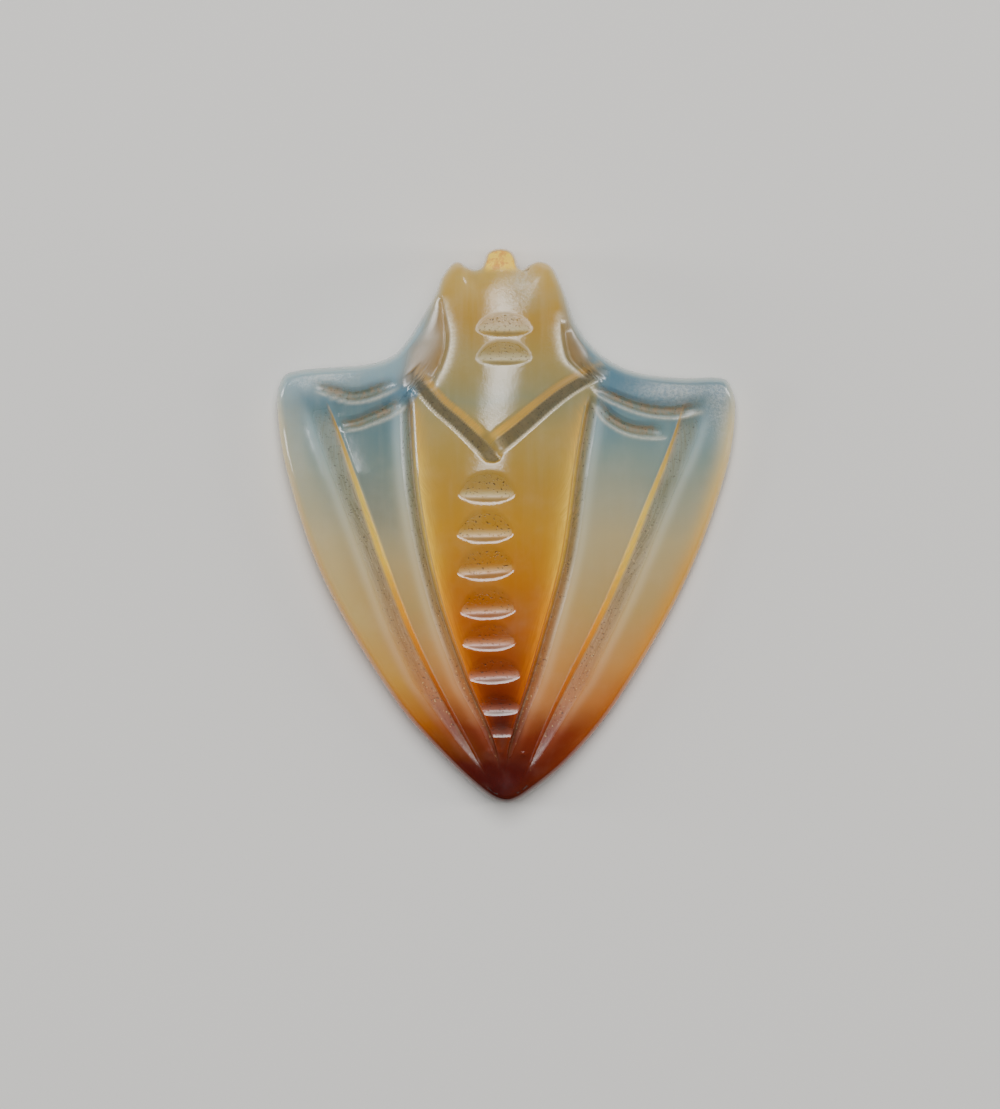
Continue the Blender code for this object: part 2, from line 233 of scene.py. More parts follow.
@dataclass
class Marks:
    """What the cutting left on each point of the face.

    All are shares of the full mark, apart from the lane, which is the distance in metres
    from the wall of a long groove or from the line of a narrow cut. The wall's glow, the
    painted shade, the ridge's highlight, the glint, the valley's sheen and the sheen on the
    frost are light and shade painted into the colour.
    """

    # painted glow: amber light on the steep walls of the grooves and the collar, and just inside the
    # abdomen's walls
    wall: np.ndarray
    # painted shade: darker at the feet of walls, on the collar's floor and on the notches' tail walls
    seam: np.ndarray
    ground: np.ndarray
    pitted: np.ndarray
    dirt: np.ndarray
    body: np.ndarray
    # painted highlight on the soft ridges beside the long grooves
    ridge: np.ndarray
    # frost: matt wear, whitened as a painted sheen
    frost_and_sheen: np.ndarray
    satin: np.ndarray
    # painted highlight: thin lines of light on crisp edges and cut rims
    glint: np.ndarray
    # painted sheen in the valleys of the notches
    valley_sheen: np.ndarray
    shade: np.ndarray
    scoop: np.ndarray
    nub: np.ndarray
    matte: np.ndarray
    lane: np.ndarray

    @classmethod
    def blank(cls, shape: tuple[int, ...]) -> "Marks":
        """Marks of an uncut face with the given shape."""
        return cls(*(np.zeros(shape) for _ in fields(cls)))

    def deepen(self, name: str, values: np.ndarray) -> None:
        """Raise one mark to the given values where they are greater."""
        setattr(self, name, np.maximum(getattr(self, name), values))


@dataclass(frozen=True)
class GrooveSection:
    """Where each point of the face lies in the section of a long groove.

    The strength is the share of the full depth there, and the crown is the shape of the
    soft ridge, from 0 to 1. The rest are widths, and distances outwards and inwards from
    the wall's top.
    """

    strength: np.ndarray
    wall: np.ndarray
    width: np.ndarray
    out: np.ndarray
    inward: np.ndarray
    crown: np.ndarray


@dataclass(frozen=True)
class LongGroove:
    """Groove that runs along the body and leaves the outer side lower.

    Its inner wall is steep and polished. Its outer side climbs gently to a soft ridge
    and is left as the wheel ground it. A field that ends in rise or drop says between which
    shares of the wall, or of the whole width, a mark begins or ends.
    """

    side: Side
    line: Places
    width: float
    depth: float
    fade: Places
    wall: float = 0.00026
    curved: float = 0.4
    kept: float = 0.3
    ridge: float = 0.00004
    ridge_width: float = 0.0004
    ridge_from: float = 0.3
    least_width: float = 1.5
    # painted glow: glow on the wall itself, inner just inside it
    glow: float = 0.0
    wall_rise: tuple[float, float] = (0.0, 0.25)
    wall_drop: tuple[float, float] = (0.8, 1.12)
    inner: float = 0.0
    inner_glow_reach: float = 0.0005
    # painted shade along the foot of the wall
    seam: float = 0.8
    painted_shade_width: float = 0.0001
    ground: float = 1.0
    ground_rise: tuple[float, float] = (0.9, 1.15)
    ground_drop: tuple[float, float] = (0.55, 0.98)
    pitted: float = 0.8
    dirt: float = 0.5
    dirt_from: float = 0.95
    dirt_place: float = 1.2
    dirt_width: float = 0.00018
    hollow_rise: tuple[float, float] = (0.5, 1.2)
    hollow_drop: tuple[float, float] = (0.6, 1.0)
    # crisp edge: a painted glint along it, frost with painted sheen inside it, and the hollow's tint beyond
    crisp: float = 0.0
    crisp_edge: tuple[float, float] = (0.00005, 0.0002)
    glint_width: float = 0.00034
    frost_and_sheen: float = 0.5
    frost_and_sheen_reach: float = 0.0006
    lane_reach: float = 0.001
    width_fade: Places = ((0.0, 0.08), (0.22, 1.0), (0.66, 1.0), (0.8, 0.75))
    wall_fade: Places = ((0.0, 0.08), (0.22, 1.0), (0.66, 1.0), (0.8, 0.75))

    def line_x(self, body: Body, y: np.ndarray) -> np.ndarray:
        """Place of the wall's top across the stone, at the lengths y."""
        curve = smooth_curve(body.place(self.line))
        return np.interp(y, curve[:, 1], curve[:, 0])

    def wall_at(self, body: Body, y: np.ndarray) -> np.ndarray:
        """Width of the wall at the lengths y."""
        return self.wall * at(self.wall_fade, body.share(y))

    def width_at(self, body: Body, y: np.ndarray) -> np.ndarray:
        """Whole width, from the wall's top to the ridge, at the lengths y."""
        full = self.width * at(self.width_fade, body.share(y))
        return np.maximum(full, self.least_width * self.wall_at(body, y))

    def strength(self, body: Body, y: np.ndarray) -> np.ndarray:
        """Share of the full depth that the groove has at the lengths y."""
        return eased(self.fade, body.share(y))

    def lower(self, body: Body, x: np.ndarray, y: np.ndarray, marks: Marks) -> np.ndarray:
        """Depth of the groove below the dome.

        With d the distance outwards from the wall's top, the depth rises to the full depth
        over the wall, partly straight and partly by a smooth step. Then it falls by a
        parabola to the depth that is kept, where a bell curve adds the soft ridge.

        Args:
            body: The stone's size.
            x: Places across the stone.
            y: Places along the stone.
            marks: Marks that the groove adds to.

        Returns:
            The depth at each point, positive down.
        """
        strength = self.strength(body, y)
        wall, width = self.wall_at(body, y), self.width_at(body, y)
        signed = self.side.value * (x - self.line_x(body, y))
        out, inward = np.clip(signed, 0.0, None), np.clip(-signed, 0.0, None)
        steep = np.minimum(out / wall, 1.0)
        falling = (1 - self.curved) * steep + self.curved * smooth_step(steep, 0.0, 1.0)
        climb = np.clip((out - wall) / (width - wall), 0.0, 1.0)
        crown = bell(out - width, self.ridge_width) * smooth_step(out, 0.0, self.ridge_from * self.width)
        self.mark(GrooveSection(strength, wall, width, out, inward, crown), marks)
        lowered = falling - (1 - self.kept) * climb * (2 - climb)
        return strength * (self.depth * lowered - self.ridge * crown)

    def mark(self, here: GrooveSection, marks: Marks) -> None:
        """Add what the groove leaves on the face to the marks.

        Each mark is a window of two smooth steps on the distance from the wall's top, or a
        bell curve or an exponential of it. The wall mark is a painted glow on the wall and just
        inside it, the mark at the wall's foot a painted shade, the ridge's a painted highlight,
        and the glint and the frost's sheen on crisp edges are painted highlights.

        Args:
            here: Where each point lies in the groove.
            marks: Marks that the groove adds to.
        """
        out, wall = here.out, here.wall
        down, across = out / wall, out / here.width
        glow_on_wall = window(down, self.wall_rise, self.wall_drop)
        beside = (here.inward > ON_LINE) * np.exp(-here.inward / self.inner_glow_reach)
        floor = smooth_step(down, *self.ground_rise) * (1 - smooth_step(across, *self.ground_drop))
        hollow = smooth_step(down, *self.hollow_rise) * (1 - smooth_step(across, *self.hollow_drop))
        speckled = bell(out - wall * self.dirt_place, self.dirt_width) * (out > wall * self.dirt_from)
        top = self.crisp * (1 - smooth_step(out, *self.crisp_edge))
        laned = floor + (here.inward < self.lane_reach) * (here.inward > 0)
        for name, share in (
                ("wall", self.glow * glow_on_wall + self.inner * beside),
                ("seam", self.seam * bell(out - wall, self.painted_shade_width)),
                ("ground", self.ground * floor),
                ("pitted", self.pitted * self.ground * floor),
                ("dirt", self.dirt * self.ground * speckled),
                ("ridge", here.crown * (self.ridge > 0)),
                ("glint", top * bell(here.inward, self.glint_width)),
                ("frost_and_sheen", self.frost_and_sheen * top * np.exp(-here.inward / self.frost_and_sheen_reach)),
                ("scoop", self.crisp * hollow)):
            marks.deepen(name, here.strength * share)
        marks.lane = np.where(here.strength * laned > 0, out + here.inward, marks.lane)


@dataclass(frozen=True)
class PathCut:
    """Narrow cut along a line on the face, with a section given by a table.

    The section's table gives a share of the depth for each place across, from -1 at the
    tail side to 1 at the head side. The rim, lip and dirt have their places across too, and
    so has the wall's start. The depths of the wall and the floor are shares of the cut's
    depth. The ends are the shares of it that are left where the cut starts and stops. The
    round end, the wall's end and the rim's rise and drop are shares of the length.
    """

    name: str
    line: Places
    width: tuple[float, float]
    depth: float
    section: Places
    head_side: float = 1.0
    ends: tuple[float, float] = (0.0, 0.0)
    round_end: float = 0.24
    # painted glow on the head-side wall of the cut
    glow: float = 0.0
    wall_from: float = 0.35
    wall_blend: float = 0.18
    wall_until: float = 1.2
    wall_end: float = 0.1
    wall_depth: tuple[float, float] = (0.0, 0.15)
    floor_depth: tuple[float, float] = (0.25, 0.6)
    pitted: float = 0.8
    # painted shade on the floor of the cut
    floor_shade: float = 0.0
    dirt: float = 0.6
    dirt_place: float = -0.05
    dirt_width: float = 0.6
    # painted glint: a thin line of light along the tail side
    rim: float = 0.5
    rim_place: float = -1.0
    rim_width: float = 0.25
    rim_rise: tuple[float, float] = (0.02, 0.18)
    rim_drop: tuple[float, float] = (0.9, 1.0)
    lip: float = 0.00002
    lip_place: float = -1.12
    lip_width: float = 0.22

    def lower(self, body: Body, x: np.ndarray, y: np.ndarray, marks: Marks) -> np.ndarray:
        """Depth of the cut.

        With s the distance from the line over the half width, positive towards the head,
        the depth is the section's value at s, faded by smooth steps at the line's ends. A
        low lip stands along the tail side, a bell curve of s.

        Args:
            body: The stone's size.
            x: Places across the stone.
            y: Places along the stone.
            marks: Marks that the cut adds to.

        Returns:
            The depth at each point, positive down.
        """
        path = smooth_curve(body.place(self.line), steps=10)
        distance, side, station = path_field(x, y, path)
        half = 0.5 * (self.width[0] + (self.width[1] - self.width[0]) * station)
        across = side * self.head_side * distance / half
        shape = at(self.section, across)
        rise = self.ends[0] + (1 - self.ends[0]) * smooth_step(station, 0.0, self.round_end)
        fall = self.ends[1] + (1 - self.ends[1]) * smooth_step(1 - station, 0.0, self.round_end)
        strength = rise * fall
        above = smooth_step(across, self.wall_from, self.wall_from + self.wall_blend)
        floor = strength * smooth_step(shape, *self.floor_depth) * (1 - above)
        painted_glow = self.glow * strength * above
        ended = window(station, self.rim_rise, self.rim_drop)
        marks.lane = np.where(painted_glow > 0, distance, marks.lane)
        painted_glow = painted_glow * smooth_step(shape, *self.wall_depth)
        painted_glow = painted_glow * (1 - smooth_step(station, self.wall_until - self.wall_end, self.wall_until))
        for name, share in (
                ("wall", painted_glow), ("ground", floor), ("pitted", self.pitted * floor),
                ("seam", self.floor_shade * floor),
                ("dirt", self.dirt * strength * bell(across - self.dirt_place, self.dirt_width)),
                ("glint", self.rim * ended * bell(across - self.rim_place, self.rim_width))):
            marks.deepen(name, share)
        LOG.info("%s: %.2f mm deep", self.name, 1000 * self.depth)
        lip = self.lip * ended * bell(across - self.lip_place, self.lip_width)
        return strength * (self.depth * shape - lip)


@dataclass(frozen=True)
class Notch:
    """Round-bottomed notch across the crest, steeper on its tail side.

    The slopes are those of the head side and the tail side. The reach is how far along and
    across the notch may cut, and the ends are distances from the crest. A field that ends
    in ahead or behind says between which distances from the valley a mark or the lip
    begins, and the edge's rise and drop are heights above the notch's surface.
    """

    valley: tuple[float, float]
    depth: float = 0.00044
    scale: float = 1.0
    tilt: float = 0.0
    slopes: tuple[float, float] = (0.28, 1.15)
    rounding: float = 0.00028
    half_span: float = 0.0027
    lean_step: float = 0.0015
    reach: tuple[float, float] = (0.003, 0.0034)
    ends: tuple[float, float] = (0.0008, 0.0015)
    edge: float = 0.00002
    edge_rise: tuple[float, float] = (-0.00006, 0.0)
    edge_drop: tuple[float, float] = (0.00002, 0.00007)
    lip: float = 0.00008
    lip_behind: tuple[float, float] = (-0.0001, 0.0003)
    inside_depth: tuple[float, float] = (0.00004, 0.00012)
    matte_from: tuple[float, float] = (0.6, 0.7)
    matte_ahead: tuple[float, float] = (-0.0003, 0.0001)
    pitted_ahead: tuple[float, float] = (-0.00015, 0.00005)
    # painted sheen along the valley, just ahead of it
    valley_sheen_place: float = 0.0002
    valley_sheen_width: float = 0.00026
    # painted shade on the notch's tail wall
    seam: float = 0.8
    painted_shade_behind: tuple[float, float] = (0.00004, 0.00016)

    def surface(self, body: Body, x: np.ndarray, y: np.ndarray,
                crest: "Crest") -> tuple[np.ndarray, np.ndarray]:
        """Height of the notch's own surface.

        Along the body it is a hyperbola: half the difference of the slopes times the
        distance, plus half their sum times the root of distance and rounding squared, less
        its own least value. It leans with the crest, and rises across by the fourth power of
        the distance from its middle, so that it runs out at a short round end.

        Args:
            body: The stone's size.
            x: Places across the stone.
            y: Places along the stone.
            crest: The crest that the notch crosses.

        Returns:
            The height at each point, and the distance along the body from the notch.
        """
        centre = body.place((self.valley,))[0]
        level = crest.height(body, centre[1] + np.array([-self.lean_step, 0.0, self.lean_step]))
        lean = (level[2] - level[0]) / (2 * self.lean_step)
        ahead = y - centre[1] - (x - centre[0]) * self.tilt
        middle, spread = (self.slopes[0] - self.slopes[1]) / 2, (self.slopes[0] + self.slopes[1]) / 2
        rounding = self.rounding * self.scale
        least = rounding * math.sqrt(spread ** 2 - middle ** 2)
        rise = middle * ahead + spread * np.hypot(ahead, rounding) - least
        bottom = self.depth * self.scale * (((x - centre[0]) / self.half_span) ** 4 - 1)
        return level[1] + bottom + lean * (y - centre[1]) + rise, ahead

    def carve(self, body: Body, x: np.ndarray, y: np.ndarray, z: np.ndarray, crest: "Crest",
              marks: Marks) -> np.ndarray:
        """Take the face down to the notch, and mark it.

        The new height is the soft minimum of the face and the notch's surface. Its edge is
        sharp, apart from a rounder lip on the tail side near the crest. The matte mark is
        on the edges of the thorax's notches. The valley gets a painted sheen and the tail wall
        a painted shade.

        Args:
            body: The stone's size.
            x: Places across the stone.
            y: Places along the stone.
            z: Height of the face.
            crest: The crest that the notch crosses.
            marks: Marks that the notch adds to.

        Returns:
            The new height at each point.
        """
        surface, ahead = self.surface(body, x, y, crest)
        off_crest = np.abs(x - crest.line_x(body, y))
        beside = smooth_step(off_crest, *self.ends)
        lip = smooth_step(-ahead, *self.lip_behind) * (1 - beside)
        lowered = soft_minimum(z, surface, self.edge + self.lip * lip)
        near = (np.abs(ahead) < self.reach[0]) & (off_crest < self.reach[1])
        inside = smooth_step(np.where(near, z - lowered, 0.0), *self.inside_depth)
        edge = window(z - surface, self.edge_rise, self.edge_drop)
        dull = near * edge * np.maximum(smooth_step(ahead, *self.matte_ahead), beside)
        marks.deepen("matte", dull * smooth_step(body.share(y), *self.matte_from))
        marks.deepen("pitted", inside * smooth_step(ahead, *self.pitted_ahead))
        marks.deepen("valley_sheen", inside * bell(ahead - self.valley_sheen_place, self.valley_sheen_width))
        marks.deepen("seam", self.seam * inside * smooth_step(-ahead, *self.painted_shade_behind))
        marks.frost_and_sheen = marks.frost_and_sheen * (1 - inside)
        return np.where(near, lowered, z)


@dataclass(frozen=True)
class Crest:
    """Line of the greatest height, tail to head, with the dome that falls away from it."""

    line: Places
    heights: Places
    bluntness: float
    fall: float

    def line_x(self, body: Body, y: np.ndarray) -> np.ndarray:
        """Place of the crest across the stone, at the lengths y."""
        curve = smooth_curve(body.place(self.line))
        return np.interp(y, curve[:, 1], curve[:, 0])

    def height(self, body: Body, y: np.ndarray) -> np.ndarray:
        """Height of the crest above the back, at the lengths y."""
        curve = smooth_curve(np.array(self.heights))
        return body.thickness * np.interp(body.share(y), curve[:, 0], curve[:, 1])

    def dome(self, body: Body, x: np.ndarray, y: np.ndarray) -> np.ndarray:
        """Height of the dome: the crest's height less a hyperbola of the distance from it.

        Args:
            body: The stone's size.
            x: Places across the stone.
            y: Places along the stone.

        Returns:
            The height at each point.
        """
        away = (x - self.line_x(body, y)) / body.half_width
        drop = np.hypot(self.bluntness, self.fall * away) - self.bluntness
        return self.height(body, y) - body.thickness * drop


@dataclass(frozen=True)
class Spot:
    """Small round rise or hollow: a bell curve of the distance from its middle."""

    where: tuple[float, float]
    height: float
    radius: float
    stretch: float = 1.0

    def add(self, body: Body, x: np.ndarray, y: np.ndarray) -> np.ndarray:
        """Add the spot.

        Args:
            body: The stone's size.
            x: Places across the stone.
            y: Places along the stone.

        Returns:
            What the spot adds at each point.
        """
        centre = body.place((self.where,))[0]
        away = np.hypot(x - centre[0], (y - centre[1]) / self.stretch)
        return self.height * bell(away, self.radius)


@dataclass(frozen=True)
class Outline:
    """Edge of the stone as seen from the front, counterclockwise from the tail."""

    tail: Places = ((-0.079, 0.012), (0.003, 0.0), (0.082, 0.013))
    right_side: Places = ((0.274, 0.078), (0.487, 0.186), (0.784, 0.403), (0.959, 0.599), (1.0, 0.715),
                          (0.969, 0.761))
    right_shoulder: Places = ((0.924, 0.769), (0.758, 0.768), (0.557, 0.779), (0.413, 0.809),
                              (0.309, 0.859), (0.256, 0.917), (0.226, 0.946))
    head: Places = ((0.202, 0.965), (0.173, 0.974), (0.134, 0.9765), (0.099, 0.97), (0.073, 0.962),
                    (0.054, 0.966), (0.043, 0.982), (0.021, 0.995), (-0.014, 1.0), (-0.058, 0.998),
                    (-0.085, 0.991), (-0.097, 0.977), (-0.111, 0.966), (-0.137, 0.962), (-0.171, 0.967),
                    (-0.206, 0.9765), (-0.237, 0.972), (-0.263, 0.959), (-0.283, 0.946))
    left_shoulder: Places = ((-0.306, 0.92), (-0.354, 0.884), (-0.42, 0.84), (-0.494, 0.807), (-0.607, 0.792),
                             (-0.769, 0.787), (-0.917, 0.781))
    left_side: Places = ((-0.974, 0.77), (-1.0, 0.725), (-0.956, 0.599), (-0.795, 0.403), (-0.485, 0.186),
                         (-0.258, 0.078))
    rounding: float = 0.0006
    head_rounding: float = 0.00028
    head_from: tuple[float, float] = (0.84, 0.945)
    steps: int = 30

    def edges(self, body: Body) -> tuple[np.ndarray, np.ndarray, np.ndarray, np.ndarray, np.ndarray]:
        """Edges of the face inside the rounded rim.

        The whole outline is one closed smooth curve. It is moved inwards along its normal
        by the rounding, which is smaller around the head.

        Args:
            body: The stone's size.

        Returns:
            The bottom, right, top and left edges, left to right or tail to head, and the
            whole outline.
        """
        parts = [self.tail, self.right_side,
                 self.right_shoulder + self.head + self.left_shoulder + self.left_side[:1],
                 self.left_side[1:]]
        outline = smooth_curve(body.place(sum(parts, ())), closed=True, steps=self.steps)
        along = np.roll(outline, -1, axis=0) - np.roll(outline, 1, axis=0)
        along /= np.linalg.norm(along, axis=1)[:, None]
        inward = np.column_stack([-along[:, 1], along[:, 0]])
        inset = outline + inward * self.rounding_at(body, outline)[:, None]
        counts = np.cumsum([len(part) for part in parts])[:3]
        first, second, third = (int(count - 1) * self.steps for count in counts)
        bottom, right = inset[:first + 1], inset[first:second + 1]
        top = inset[second:third + 1][::-1]
        left = np.vstack([inset[third:], inset[:1]])[::-1]
        return bottom, right, top, left, outline

    def rounding_at(self, body: Body, points: np.ndarray) -> np.ndarray:
        """How far in the rim is rounded at points: full on the wings, small on the head."""
        near_head = smooth_step(body.share(points[:, 1]), *self.head_from)
        return self.rounding + (self.head_rounding - self.rounding) * near_head


@dataclass
class CarvedStone:
    """The amulet's stone: outline, dome, long grooves, cuts, notches and rim."""

    body: Body
    outline: Outline = field(default_factory=Outline)
    rows: int = 356
    margin_columns: int = 13
    groove_columns: tuple[int, int] = (13, 8)
    wall_columns: int = 4
    panel_columns: int = 19
    back_columns: int = 42
    rim_rings: int = 7
    under_rings: int = 3
    back_shares: tuple[float, ...] = (0.975, 0.9, 0.72, 0.45, 0.2)
    rim_level: float = 0.58
    back_rounding: float = 0.0006
    back_level: float = 0.3
    tail_fan: float = 0.12
    head_fan: tuple[float, float] = (0.5, 1.0)
    swell: float = 0.00012
    ripple: float = 0.00003
    waves: Places = ((610.0, 190.0), (-120.0, 430.0))
    border: tuple[float, float] = (0.0012, 0.0024)
    satin_from: tuple[float, float] = (0.4, 0.6)
    shade_from: tuple[float, float] = (0.42, 0.54)
    shade_until: tuple[float, float] = (0.7, 0.78)
    nub_place: float = -0.023
    nub_from: tuple[float, float] = (0.952, 0.968)
    nub_reach: tuple[float, float] = (0.00095, 0.0014)
    neck: tuple[float, float] = (0.715, 0.775)
    thorax_from: tuple[float, float] = (0.74, 0.79)
    body_from: tuple[float, float] = (0.09, 0.13)
    body_outside: tuple[float, float, float] = (0.0011, 0.0008, 0.0009)
    body_soft: tuple[float, float] = (0.00014, 0.001)
    edge_reach: tuple[float, float] = (0.00038, 0.0009)
    edge_right: tuple[float, float] = (-0.001, 0.001)
    edge_until: tuple[float, float] = (0.7, 0.76)
    edge_samples: int = 6
    margin_reach: float = 0.0021
    margin_left: tuple[float, float] = (-0.002, 0.002)
    crest: Crest = Crest(
        line=((0.003, 0.0), (-0.032, 0.159), (-0.08, 0.367), (-0.088, 0.548), (-0.064, 0.645),
              (-0.03, 0.74), (-0.01, 0.837), (-0.014, 1.0)),
        heights=((0.0, 0.3), (0.06, 0.37), (0.17, 0.56), (0.3, 0.73), (0.46, 0.87), (0.585, 0.966),
                 (0.615, 0.974), (0.66, 0.979), (0.74, 0.995), (0.84, 0.983), (0.9, 0.915), (0.95, 0.82),
                 (1.0, 0.61)),
        bluntness=0.16, fall=0.83)
    thorax_left: Places = ((-0.298, 0.74), (-0.298, 0.756), (-0.267, 0.783), (-0.243, 0.814), (-0.237, 0.843),
                           (-0.25, 0.873), (-0.272, 0.912), (-0.285, 0.94), (-0.285, 1.0))
    thorax_right: Places = ((0.335, 0.75), (0.334, 0.765), (0.256, 0.797), (0.234, 0.825), (0.226, 0.855),
                            (0.236, 0.89), (0.255, 0.925), (0.255, 1.0))

    def long_grooves(self) -> list[LongGroove]:
        """The four long grooves: beside the abdomen and along each wing."""
        # abdomen: painted glow on the walls and just inside them, painted shade at their feet
        abdomen = {"width": 0.0013, "depth": 0.00072, "wall": 0.0003, "glow": 0.6, "inner": 0.85, "seam": 1.0,
                   "fade": ((0.06, 0.0), (0.13, 0.7), (0.2, 1.0), (0.7, 1.0), (0.745, 0.0))}
        wing = {"width": 0.0022, "depth": 0.00065, "wall": 0.00058, "glow": 1.0, "seam": 0.35,
                "fade": ((0.04, 0.0), (0.16, 1.0), (0.67, 1.0), (0.73, 0.0)),
                "wall_fade": ((0.0, 0.15), (0.15, 0.6), (0.3, 1.0), (0.45, 1.2), (0.6, 0.8), (0.7, 0.35))}
        return [
            LongGroove(Side.LEFT, ((-0.026, 0.012), (-0.25, 0.183), (-0.398, 0.313), (-0.529, 0.458),
                                   (-0.716, 0.665), (-0.79, 0.74)), **wing),
            LongGroove(Side.LEFT, ((-0.012, 0.01), (-0.03, 0.08), (-0.06, 0.125), (-0.167, 0.233),
                                   (-0.289, 0.382), (-0.372, 0.553), (-0.41, 0.76)), **abdomen),
            LongGroove(Side.RIGHT, ((0.006, 0.01), (0.0, 0.08), (0.022, 0.125), (0.143, 0.295), (0.241, 0.45),
                                    (0.3, 0.624), (0.37, 0.774)), **abdomen),
            LongGroove(Side.RIGHT, ((0.034, 0.012), (0.204, 0.179), (0.422, 0.367), (0.61, 0.552),
                                    (0.719, 0.66), (0.79, 0.75)), **wing),
        ]

    def flanks(self) -> list[LongGroove]:
        """Scooped hollows beside the thorax, which leave its edges crisp."""
        scoop = {"kept": 0.0, "ridge": 0.0, "seam": 0.0, "ground": 0.0, "crisp": 1.0, "wall": 0.0005,
                 "wall_fade": ((0.74, 1.0), (0.85, 1.0), (0.91, 0.3))}
        return [
            LongGroove(Side.LEFT, self.thorax_left, 0.0039, 0.00115,
                       ((0.742, 0.0), (0.762, 0.75), (0.785, 1.0), (0.85, 0.75), (0.9, 0.35), (0.915, 0.0)),
                       width_fade=((0.74, 0.85), (0.82, 1.0), (0.873, 0.45), (0.91, 0.1)), **scoop),
            LongGroove(Side.RIGHT, self.thorax_right, 0.0023, 0.001,
                       ((0.762, 0.0), (0.775, 0.7), (0.8, 1.0), (0.85, 0.7), (0.875, 0.3), (0.89, 0.0)),
                       width_fade=((0.76, 0.8), (0.82, 1.0), (0.86, 0.5), (0.89, 0.15)), **scoop),
        ]

    def path_cuts(self) -> list[PathCut]:
        """The collar under the thorax and the folds on the shoulders."""
        # collar: painted glow on its head-side wall, painted shade on its floor, a painted glint along its
        # tail rim
        collar = {"depth": 0.0006, "glow": 0.8, "floor_shade": 1.0, "dirt": 0.2, "rim": 0.8, "rim_width": 0.1,
                  "lip": 0.000012, "wall_from": 0.15,
                  "section": ((-1.0, 0.0), (-0.9, 0.7), (-0.62, 1.0), (0.15, 0.8), (1.0, 0.0))}
        fold = {"width": (0.0010, 0.0014), "depth": 0.00042, "dirt": 0.9, "rim": 0.35,
                "section": ((-1.0, 0.0), (-0.35, 0.95), (0.0, 1.0), (0.45, 0.55), (1.0, 0.0))}
        return [
            PathCut("left collar", ((-0.385, 0.768), (-0.289, 0.72), (-0.197, 0.687), (-0.06, 0.632)),
                    (0.0014, 0.0016), ends=(0.5, 0.8), round_end=0.12, wall_until=0.86, **collar),
            PathCut("right collar", ((0.396, 0.781), (0.234, 0.741), (0.038, 0.675), (-0.062, 0.643)),
                    (0.0013, 0.0018), head_side=-1.0, ends=(0.4, 0.1), round_end=0.14, **collar),
            PathCut("left upper fold", ((-0.847, 0.758), (-0.747, 0.745), (-0.668, 0.736), (-0.586, 0.742),
                                        (-0.481, 0.763)), **fold),
            PathCut("left lower fold", ((-0.734, 0.685), (-0.651, 0.687), (-0.594, 0.696), (-0.52, 0.709),
                                        (-0.445, 0.73)), **fold),
            PathCut("right upper fold", ((0.357, 0.754), (0.453, 0.736), (0.549, 0.72), (0.649, 0.711),
                                         (0.758, 0.712), (0.867, 0.727)), **fold),
            PathCut("right lower fold", ((0.385, 0.735), (0.44, 0.7), (0.53, 0.679), (0.62, 0.674),
                                         (0.7, 0.677)), **fold),
        ]

    def notches(self) -> list[Notch]:
        """Two notches on the thorax and eight down the abdomen."""
        return [
            Notch((-0.01, 0.848), scale=0.82),
            Notch((-0.01, 0.796), scale=0.82),
            Notch((-0.088, 0.553)),
            Notch((-0.093, 0.483), tilt=0.02),
            Notch((-0.093, 0.417), tilt=0.06),
            Notch((-0.084, 0.346), tilt=0.04, scale=0.95),
            Notch((-0.082, 0.288), tilt=0.03, scale=0.9),
            Notch((-0.049, 0.229), tilt=0.04, scale=0.9),
            Notch((-0.032, 0.169), tilt=0.03, scale=0.7),
            Notch((-0.027, 0.125), scale=0.5),
        ]

    def spots(self) -> list[Spot]:
        """Eyes, nub, dips beside it, the tail's web, small chips, and swells on the shoulders."""
        return [
            Spot((-0.2, 0.956), 0.00022, 0.0009), Spot((0.15, 0.956), 0.00022, 0.0009),
            Spot((-0.023, 0.985), 0.00034, 0.0010), Spot((0.08, 0.952), -0.00040, 0.0006),
            Spot((-0.13, 0.95), -0.00034, 0.0006), Spot((0.07, 0.925), -0.00012, 0.0004),
            Spot((0.0, 0.068), -0.00030, 0.0011, 1.5), Spot((-0.075, 0.094), 0.00009, 0.00022),
            Spot((-0.023, 0.094), 0.00008, 0.00018), Spot((0.073, 0.09), 0.0001, 0.0003, 0.5),
            Spot((-0.65, 0.757), -0.0001, 0.0002), Spot((0.285, 0.245), -0.0001, 0.0002),
            Spot((-0.435, 0.775), 0.00012, 0.0005), Spot((0.7, 0.742), 0.00014, 0.0028, 0.3),
            Spot((-0.72, 0.772), 0.00010, 0.0026, 0.3),
        ]

    def worn_sheen(self) -> list[Spot]:
        """Places worn matt and whitened by a painted sheen: the two shoulders, the chipped head and the right
        wing's corner.
        """
        return [
            Spot((-0.8, 0.772), 1.0, 0.0022, 0.35), Spot((0.72, 0.744), 1.0, 0.0026, 0.35),
            Spot((0.07, 0.935), 1.0, 0.0010, 1.3), Spot((0.93, 0.73), 0.8, 0.0012, 2.0),
        ]

